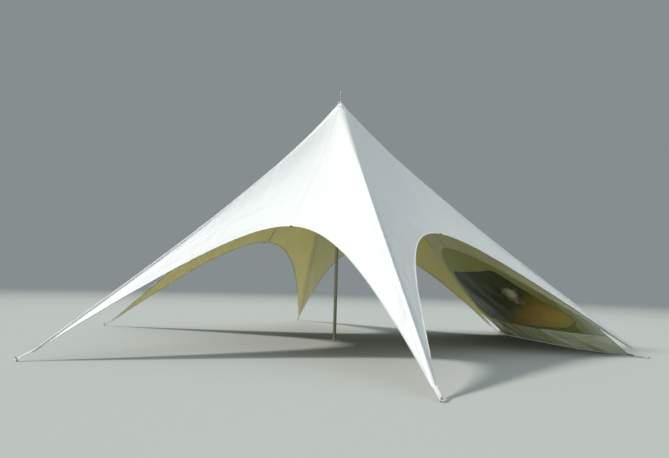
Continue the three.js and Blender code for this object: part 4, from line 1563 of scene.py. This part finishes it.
class Wall:
    """The sidewall's surface, from its chart to space."""

    def __init__(self, sizes):
        self.sizes = sizes
        s, arms = tent_sizes(WALLED_ARCH), (arm_numbers(4), arm_numbers(5))
        self.first, self.last = ridge(4, 1.0), ridge(5, 1.0)
        outward, lift = panel_spread(s, *arms)
        self.outward = np.array(outward)
        self.span = float(np.linalg.norm(self.last - self.first))
        self.along = (self.last - self.first) / self.span
        self.origin = self.first - self.outward * sizes.foot_inset
        self.up = unit(np.array(lift) + self.outward * sizes.foot_inset)
        self.out = np.cross(self.along, self.up)
        self.out *= np.sign(np.dot(self.out, self.outward))

    def edge(self, across):
        """Points just under the arch that the wall hangs from."""
        step = 1e-4
        here = surface(WALLED_ARCH, across, 1.0)
        ahead = surface(WALLED_ARCH, across + step, 1.0) - surface(WALLED_ARCH, across - step, 1.0)
        square = np.stack([ahead[..., 1], -ahead[..., 0], 0 * ahead[..., 0]], -1)
        return here + facing(square, self.outward) * EDGE_CLEARANCE

    def foot(self, across):
        """Points of the wall's foot, which is drawn in under the arch."""
        x = np.clip((across - 0.5) / (0.5 - self.sizes.end_across), -1, 1)
        drawn = 1 - np.abs(x) ** self.sizes.foot_square
        line = self.first + (self.last - self.first) * across[..., None]
        point = line - self.outward * (self.sizes.foot_inset * drawn)[..., None]
        point[..., 2] = self.sizes.foot_height
        return point

    def chart_of(self, point):
        """Chart points of space points."""
        away = point - self.origin
        return np.stack([away @ self.along, away @ self.up], -1)

    def uv(self, chart):
        """The cloth's UV map, in metres from the middle of the wall."""
        return chart - np.array((self.span / 2, UV_LOW))

    def edge_y(self, x):
        """y of the arch over each x."""
        return self.chart_of(self.edge(x / self.span))[..., 1]

    def y_at_height(self, x, height):
        """y where the wall's surface stands at a height."""
        across = x / self.span
        edge, foot = self.edge(across), self.foot(across)
        down = (edge[..., 2] - height) / (edge[..., 2] - foot[..., 2])
        return self.chart_of(edge + (foot - edge) * down[..., None])[..., 1]

    def relief(self, x, y, edge_y):
        """Folds over the ground and a soft belly, zero where the wall hangs from its arch."""
        from_f = self.span - x
        total = np.zeros_like(x)
        for points, strength, width in FOLD_LINES:
            line_x = np.interp(y, [p[1] for p in points[::-1]], [p[0] for p in points[::-1]])
            away = (from_f - line_x) / width
            crest = np.exp(-np.sqrt(away * away + 0.01)) - 0.35 * np.exp(-((away + 1.6) ** 2))
            fade = np.clip((points[0][1] - y) / 0.5, 0, 1)
            total += strength * self.sizes.fold * crest * fade
        swell = np.sin(x * 2.1 + 0.7) * np.sin(y * 2.4 + 0.4) + 0.6 * np.sin(x * 5.3 + y * 2.2)
        total += self.sizes.belly * 0.5 * swell
        crinkle_depth, edge_fade = 0.006, 0.35
        total += crinkle_depth * np.sin(x * 17 + 3 * np.sin(y * 1.7)) * np.clip(1 - y / 1.2, 0, 1)
        return total * np.clip((edge_y - y) / edge_fade, 0, 1)

    def place(self, chart):
        """Space points of chart points."""
        x, y = chart[..., 0], chart[..., 1]
        across = x / self.span
        edge, foot = self.edge(across), self.foot(across)
        top, bottom = self.chart_of(edge)[..., 1], self.chart_of(foot)[..., 1]
        down = np.clip((top - y) / (top - bottom), 0, 1)
        point = edge + (foot - edge) * down[..., None]
        least, fade = 0.15, 0.5
        held_e = np.clip((x - WALL_STARTS) / fade, least, 1)
        held_f = np.clip((WALL_STOPS - x) / fade, least, 1)
        worn = self.relief(x, y, top) * held_e * held_f
        return point - self.outward * worn[..., None]


class TENT_OT_sidewall(bpy.types.Operator):
    """Makes the sidewall, its clear window and skirt, and what pegs it down"""

    bl_idname = "tent.sidewall"
    bl_label = "Sidewall"

    def execute(self, context):
        sizes = context.scene.tent_wall
        cloth = context.scene.tent_cloth
        self.sizes = sizes
        self.wall = Wall(sizes)
        self.outside = bpy.data.materials["coated cloth outside"]
        # Wall and skirt linings hold painted shade, turning to painted light towards arm F, and the skirt
        # has painted highlight and painted shade along its folds. The window border's inner faces take
        # the wall lining's painted shade.
        painted_light_tone = tuple(sizes.painted_light_lining)
        self.lining = cloth_finish("wall lining", sizes.lining, (0.34, 0.33, 0.14), (0.3, 0.29, 0.2),
                                   glow=0.15, relief=0.003, fade=(painted_light_tone, 2.0, 2.45))
        self.skirt_lining = cloth_finish(
            "skirt lining", sizes.skirt_lining, (0.42, 0.43, 0.36), (0.2, 0.2, 0.15), glow=0.6,
            relief=0.004, fade=(painted_light_tone, -1.4, 1.75), painted_fold_shading=0.65,
        )
        self.border = webbing_finish("window border", sizes.lining, sizes.border_width)
        self.window_outline = smoothed_outline(WINDOW_CORNERS, sizes.corner_radius)
        self.make_cloth()
        self.make_window()
        self.make_border()
        self.make_top_hem()
        end_finish = webbing_finish("wall end webbing", cloth.webbing, 0.04)
        self.bind_end("e", -1, sizes.end_across, end_finish)
        self.bind_end("f", 1, 1 - sizes.end_across, end_finish)
        self.make_corners(cloth)
        return {"FINISHED"}

    def chart_line(self, count):
        """Even steps of x from one end of the wall to the other."""
        span, ends = self.wall.span, self.sizes.end_across
        return np.linspace(ends * span, (1 - ends) * span, count)

    def outer_outline(self, count):
        """The wall's cloth above its skirt: along the seam, and back along the arch."""
        wall, x = self.wall, self.chart_line(count)
        seam = np.stack([x, wall.y_at_height(x, self.sizes.skirt_top)], -1)
        top = np.stack([x, wall.edge_y(x)], -1)
        return np.concatenate([seam, top[::-1]])

    def face_outside(self, mesh):
        """Turns a sheet of the wall to face outdoors."""
        weld(mesh)
        orient(mesh, lambda centre: self.wall.out + np.array((0, 0, 0.5)))

    def sheet_mesh(self, name, chart, material):
        """Cloth over a grid of chart points."""
        mesh = grid_mesh(name, self.wall.place(chart), self.wall.uv(chart))
        self.face_outside(mesh)
        mesh.polygons.foreach_set("material_index", [material] * len(mesh.polygons))
        return mesh

    def make_cloth(self):
        """The wall round its window, and the skirt below it, which are sewn into one sheet."""
        count = 241
        outer = self.outer_outline(count)
        angles = angles_round(WINDOW_CENTRE, outer[[0, count - 1, count, 2 * count - 1]], 480)
        upper = ring_grid(self.window_outline, outer, WINDOW_CENTRE, angles, 36)
        lower, foot = self.skirt_chart()
        parts = [self.sheet_mesh("upper", upper, 0), self.sheet_mesh("lower", lower, 2)]
        name = "sidewall_cloth_sheet"
        piece = add_object(name, bpy.data.meshes.new(name))
        with editing(piece.data) as build:
            for part in parts:
                build.from_mesh(part)
                bpy.data.meshes.remove(part)
        thicken(piece, self.sizes.depth, self.outside, self.lining, self.outside, self.skirt_lining)
        keep_piece(piece, "wall_cloth", "sidewall_cloth", "sidewall_skirt")
        flat_area = chart_area(upper) + chart_area(lower)

    def skirt_chart(self):
        """A grid of chart points from the skirt's seam to its foot, and y of the foot."""
        rows, columns = 31, 301
        wall, x = self.wall, self.chart_line(columns)
        seam = wall.y_at_height(x, self.sizes.skirt_top)
        foot = wall.chart_of(wall.foot(x / wall.span))[..., 1]
        down = np.linspace(0, 1, rows)[:, None]
        return np.stack([np.broadcast_to(x, (rows, columns)), seam + (foot - seam) * down], -1), foot

    def make_window(self):
        """The clear sheet, rippled in its middle and held flat along its border."""
        wall, rings, name = self.wall, 60, "clear_window_sheet"
        angles = np.linspace(-math.pi, math.pi, 361)
        tiny = WINDOW_CENTRE + 1e-3 * np.stack([np.cos(angles), np.sin(angles)], -1)
        chart = ring_grid(tiny[:-1], self.window_outline, WINDOW_CENTRE, angles, rings)
        points = wall.place(chart)
        x, y = np.moveaxis(chart - WINDOW_CENTRE, -1, 0)
        free = np.linspace(1, 0, rings + 1)[:, None] ** 0.5
        ripple = 0.006 * np.sin(x * 9 + 2 * np.sin(y * 3)) + 0.008 * np.sin(y * 5 + x * 2)
        points = points + wall.out * (ripple * free)[..., None] - wall.out * self.sizes.depth / 2
        piece = add_object(name, grid_mesh(name, points, wall.uv(chart)))
        self.face_outside(piece.data)
        piece.data.materials.append(self.glossy_finish())
        thicken(piece, 0.001, self.clear_finish())
        keep_piece(piece, "clear_sheet", "sidewall_window")
        area = chart_area(chart)

    def glossy_finish(self):
        """Outer face of the clear sheet, which mirrors the sky in its ripples."""
        finish = Finish("clear sheet outer face", 0.12)
        u, v = finish.chart()
        wave = finish.noise(u * 2.1, v * 2.7)
        dust = share((0.9 - v) / 0.6 + (wave - 0.5) * 0.8)
        scratches = finish.noise(u * 3, v * 46)
        # The near-black tint is painted shade, a dark sheet for the view through the window; the lighter
        # mix towards its foot is dust.
        tone = finish.mixed(dust * 0.18, (0.03, 0.036, 0.028, 1), (0.45, 0.44, 0.38, 1))
        cover = self.sizes.clear_cover - 0.06 + (scratches - 0.5) * 0.06
        connect(finish.group, finish.shader.inputs["Alpha"], cover)
        rough = 0.1 + dust * 0.2 + scratches * 0.06
        return finish.close(tone, wave * 0.006, rough, Specular_IOR_Level=0.5)

    def clear_finish(self):
        """Inner face of the clear sheet: a dark tint of painted shade, a painted reflection in a patch
        and painted sunlit ground, amber, towards its foot.
        """
        sizes = self.sizes
        finish = Finish("clear sheet", 0.16)
        u, v = finish.chart()
        wave = finish.noise(u * 3.1, v * 3.4, detail=4.0)
        streaks = finish.noise(u * 2.2 + v * 2.6, v * 9 - u * 6)
        patch_u, patch_v, patch_width, patch_height = 0.83, 1.4, 0.42, 0.32
        from_patch = root(((u - patch_u) / patch_width) ** 2 + ((v - patch_v) / patch_height) ** 2)
        clouds = finish.noise(u * 5.5 + v * 1.5, v * 5, 3.7, detail=5.0)
        # A painted reflection: a milky white patch where the sheet would mirror bright sky.
        painted_reflection = share(0.9 - from_patch + (clouds - 0.5) * 2.2) * (0.25 + streaks * 0.7)
        top = at_most(u * 0.44 + 0.8, 1.4)
        # Painted light: amber, greener lowest down, stands in for sunlit ground seen through the sheet.
        painted_sunlit_ground = share((top - v) / 1.25 + (wave - 0.5) * 0.3) * (0.8 + (clouds - 0.5) * 0.4)
        scuffs = share((finish.noise(u * 0.9 + 2.3, v * 1.6 + 1.2) - 0.53) * 4)
        scratches = finish.noise(u * 3, v * 46)
        amber = finish.mixed(share((0.62 - v) / 0.3), rgba(sizes.amber), (0.42, 0.42, 0.14, 1))
        # The clear tint is painted shade, dark and nearly opaque with the cover.
        tone = finish.mixed(scuffs * 0.05, rgba(sizes.clear), (0.5, 0.5, 0.42, 1))
        tone = finish.mixed(painted_sunlit_ground, tone, amber)
        tone = finish.mixed(share(painted_reflection), tone, (0.95, 0.93, 0.88, 1))
        cover = sizes.clear_cover + share(painted_reflection) * 0.15 + (scratches - 0.5) * 0.06
        connect(finish.group, finish.shader.inputs["Alpha"], cover)
        rough = 0.3 + share(painted_reflection) * 0.3 + scuffs * 0.1
        return finish.close(
            tone, wave * 0.005, rough, Specular_IOR_Level=0.02, Subsurface_Weight=0.4,
            Subsurface_Radius=(1.0, 0.85, 0.5), Subsurface_Scale=0.01,
        )

    def whiten_outside(self, piece):
        """Gives the faces that look outdoors the cloth's outer finish."""
        piece.data.materials.append(self.outside)
        outward = np.array((*self.wall.out[:2], 0.4))
        for face in piece.data.polygons:
            face.material_index = int(np.dot(face.normal, outward) > 0.05)
        return piece

    def make_border(self):
        """The border sewn round the clear sheet."""
        wall = self.wall
        outline = np.concatenate([self.window_outline, self.window_outline[:1]])
        run = run_along(outline)
        even = np.linspace(0, run[-1], 401)
        outline = np.stack([np.interp(even, run, outline[:, 0]), np.interp(even, run, outline[:, 1])], -1)
        right, above = (
            wall.place(outline + np.array(step)) - wall.place(outline - np.array(step))
            for step in ((0.01, 0), (0, 0.01))
        )
        depth = 0.0065
        piece = self.lay_band("window_border", outline, np.cross(right, above),
                              self.sizes.border_width, depth, self.border)
        keep_piece(self.whiten_outside(piece), "wall_cloth")

    def lay_band(self, name, chart, out, width, depth, finish):
        """A band along chart points of the wall, round both of its faces."""
        out = facing(out, self.wall.out)
        middle = self.wall.place(chart) - out * self.sizes.depth / 2
        return band(name, middle, out, width, depth, finish)

    def make_top_hem(self):
        """The hem under the arch, and the loops that tie it there."""
        wall = self.wall
        x = np.linspace(WALL_STARTS, wall.span - WALL_STARTS, 301)
        width, depth, below = 0.014, 0.0045, 0.018
        chart = np.stack([x, wall.edge_y(x) - below], -1)
        out = np.cross(np.gradient(wall.place(chart), axis=0), wall.up)
        # The hem's olive is the wall lining's painted shade on its inner faces; its outer faces are
        # whitened.
        finish = webbing_finish("wall hem", (0.44, 0.45, 0.2), width)
        hem = self.lay_band("sidewall_top_hem", chart, out, width, depth, finish)
        keep_piece(self.whiten_outside(hem), "wall_cloth")
        hooks = wall.place(np.stack([x, wall.edge_y(x) - 0.004], -1))
        spacing, loop = 0.21, (0.05, 0.016, 0.0018, 0.009)
        out = facing(out, wall.out)
        loops = row_of("loops", "sidewall_top_loops", hooks, out, spacing, loop, finish)
        keep_piece(loops, "webbing")

    def bind_end(self, name, side, across, finish):
        """Webbing down one end of the wall, from its arch to its foot."""
        wall, rows, width, depth = self.wall, 61, 0.04, 0.0068
        x = across * wall.span
        low = wall.chart_of(wall.foot(np.array([across])))[0, 1]
        high = float(wall.edge_y(np.array([x]))[0])
        y = low + 0.004 + (high - low - 0.012) * np.linspace(0, 1, rows)
        chart = np.stack([np.full(rows, x - 0.022 * side), y], -1)
        points = wall.place(chart)
        beside = wall.place(chart + np.array((0.01, 0.0))) - points
        out = np.cross(np.gradient(points, axis=0), beside)
        strap = self.lay_band(f"wall_end_webbing_{name}", chart, out, width, depth, finish)
        keep_piece(strap, "webbing")

    def make_corners(self, cloth):
        """Webbing tabs and small pegs at the skirt's lower corners."""
        wall, ends = self.wall, self.sizes.end_across
        depth, width, length, peg, sunk = 0.006, 0.06, 0.15, 0.006, 0.0016
        eyelet, top = length - width / 2, depth + GAP + 0.024
        head = (0.012, depth, depth + 0.007)
        outline = tab_outline(-0.05, width, length, width)
        finish = webbing_finish("corner webbing", cloth.webbing, width)
        for name, across, side in (("e", ends, -1), ("f", 1 - ends, 1)):
            spot = np.array([across])
            corner = wall.foot(spot)[0]
            up = unit(wall.edge(spot)[0] - corner)
            outward = wall.along * side
            face = unit(np.cross(outward, up)) * -side
            middle = corner + up * width / 2 + outward * GAP - face * depth / 2
            middle[2] -= sunk
            frame_axes = np.stack([outward, np.cross(face, outward), face], 1)
            place = Matrix.Translation(middle) @ Matrix(frame_axes.tolist()).to_4x4()
            tab = eyelet_plate(f"wall_corner_webbing_{name}", outline, (eyelet, 0.0), peg + 0.0006,
                               depth, finish, place)
            keep_piece(tab, "webbing", f"sidewall_corner_tab_{name}")
            hole = place @ Matrix.Translation((eyelet, 0, 0))
            pressed_eyelet(f"wall_corner_eyelet_{name}", hole, peg + 0.005, 0.0045)
            names = f"wall_corner_peg_{name}", f"sidewall_peg_{name}"
            drive_stake(*names, hole, peg, head, top, 0.001, 32)


# Stage


class TENT_OT_stage(bpy.types.Operator):
    """Makes the floor, the light and the camera"""

    bl_idname = "tent.stage"
    bl_label = "Studio stage"

    def execute(self, context):
        stage = context.scene.tent_stage
        self.make_floor(stage)
        self.make_light(context, stage)
        self.make_camera(context, stage)
        return {"FINISHED"}

    def make_floor(self, stage):
        """A wide floor that fades into the light from all round."""
        profile = [(0, 0)] + [(reach, 0) for reach in (20, 60, 150, 400)]
        floor = add_object("studio_floor", lathe("studio_floor", profile, 96))
        finish = Finish("studio floor", 0.9)
        x, y, _ = finish.place()
        away = share((root(x * x + y * y) - 12) / 34)
        far = away * away * (3 - 2 * away)
        tone = finish.mixed(finish.noise(x * 0.25, y * 0.25), rgba(stage.floor), rgba(stage.floor, 0.97))
        near = finish.mixed(far, tone, (0, 0, 0, 1))
        connect(finish.group, finish.shader.inputs["Emission Strength"], far * stage.backdrop_strength)
        made = finish.close(near, Emission_Color=rgba(stage.sky), Specular_IOR_Level=0.0)
        floor.data.materials.append(made)

    def make_light(self, context, stage):
        """Soft light from overhead and all round, and the key light."""
        world = bpy.data.worlds.new("studio sky")
        world.use_nodes = True
        sky = world.node_tree.nodes["Background"]
        sky.inputs["Color"].default_value = rgba(stage.sky)
        facing = add_node(world.node_tree, "ShaderNodeTexCoord").outputs["Generated"]
        parts = add_node(world.node_tree, "ShaderNodeSeparateXYZ", {"Vector": facing}).outputs
        above = share((Term(world.node_tree, parts["Z"]) - 0.46) / 0.34)
        strength = stage.backdrop_strength + above * (stage.sky_strength - stage.backdrop_strength)
        connect(world.node_tree, sky.inputs["Strength"], strength)
        context.scene.world = world
        lamp = bpy.data.lights.new("key light", "SUN")
        lamp.energy = stage.sun_strength
        lamp.color = stage.sun
        lamp.angle = stage.sun_size
        key = bpy.data.objects.new("key_light", lamp)
        key.rotation_mode = "QUATERNION"
        key.rotation_quaternion = SUN_DIRECTION.to_track_quat("Z", "Y")
        context.collection.objects.link(key)
        context.scene.view_settings.view_transform = "Standard"

    def make_camera(self, context, stage):
        """The camera at the picture's viewing angle."""
        data = bpy.data.cameras.new("camera")
        data.sensor_width = 36.0
        data.lens = stage.focal * data.sensor_width / PICTURE_WIDTH
        data.clip_end = 500.0
        camera = bpy.data.objects.new("camera", data)
        turns = ((stage.yaw, "Z"), (math.pi / 2 + stage.pitch, "X"), (stage.roll, "Z"))
        place = Matrix.Translation(stage.camera_place)
        for angle, axis in turns:
            place = place @ Matrix.Rotation(angle, 4, axis)
        camera.matrix_world = place
        context.collection.objects.link(camera)
        context.scene.camera = camera


class TENT_PT_panel(bpy.types.Panel):
    """Lists the tent's pieces and their sizes"""

    bl_idname = "TENT_PT_panel"
    bl_label = "Star-shaped pole tent"
    bl_space_type = "VIEW_3D"
    bl_region_type = "UI"
    bl_category = "Tent"

    def draw(self, context):
        for operator in OPERATORS:
            self.layout.operator(operator.bl_idname)
        for name, group in GROUPS.items():
            box = self.layout.box()
            for label in group.__annotations__:
                box.prop(getattr(context.scene, name), label)


GROUPS = {
    "tent_shape": TentShape, "tent_cloth": TentCloth, "tent_wall": TentWall, "tent_pole": TentPole,
    "tent_stage": TentStage,
}
OPERATORS = (
    TENT_OT_stage, TENT_OT_canopy, TENT_OT_webbing, TENT_OT_pole, TENT_OT_crown, TENT_OT_tips,
    TENT_OT_sidewall,
)
CLASSES = (*GROUPS.values(), *OPERATORS, TENT_PT_panel)


def register():
    for entry in CLASSES:
        bpy.utils.register_class(entry)
    for name, group in GROUPS.items():
        setattr(bpy.types.Scene, name, PointerProperty(type=group))


def unregister():
    for name in GROUPS:
        delattr(bpy.types.Scene, name)
    for entry in reversed(CLASSES):
        bpy.utils.unregister_class(entry)


def main():
    """Makes every piece in order."""
    register()
    bpy.ops.tent.stage()
    bpy.ops.tent.canopy()
    bpy.ops.tent.webbing()
    bpy.ops.tent.pole()
    bpy.ops.tent.crown()
    bpy.ops.tent.tips()
    bpy.ops.tent.sidewall()


if __name__ == "__main__":
    main()
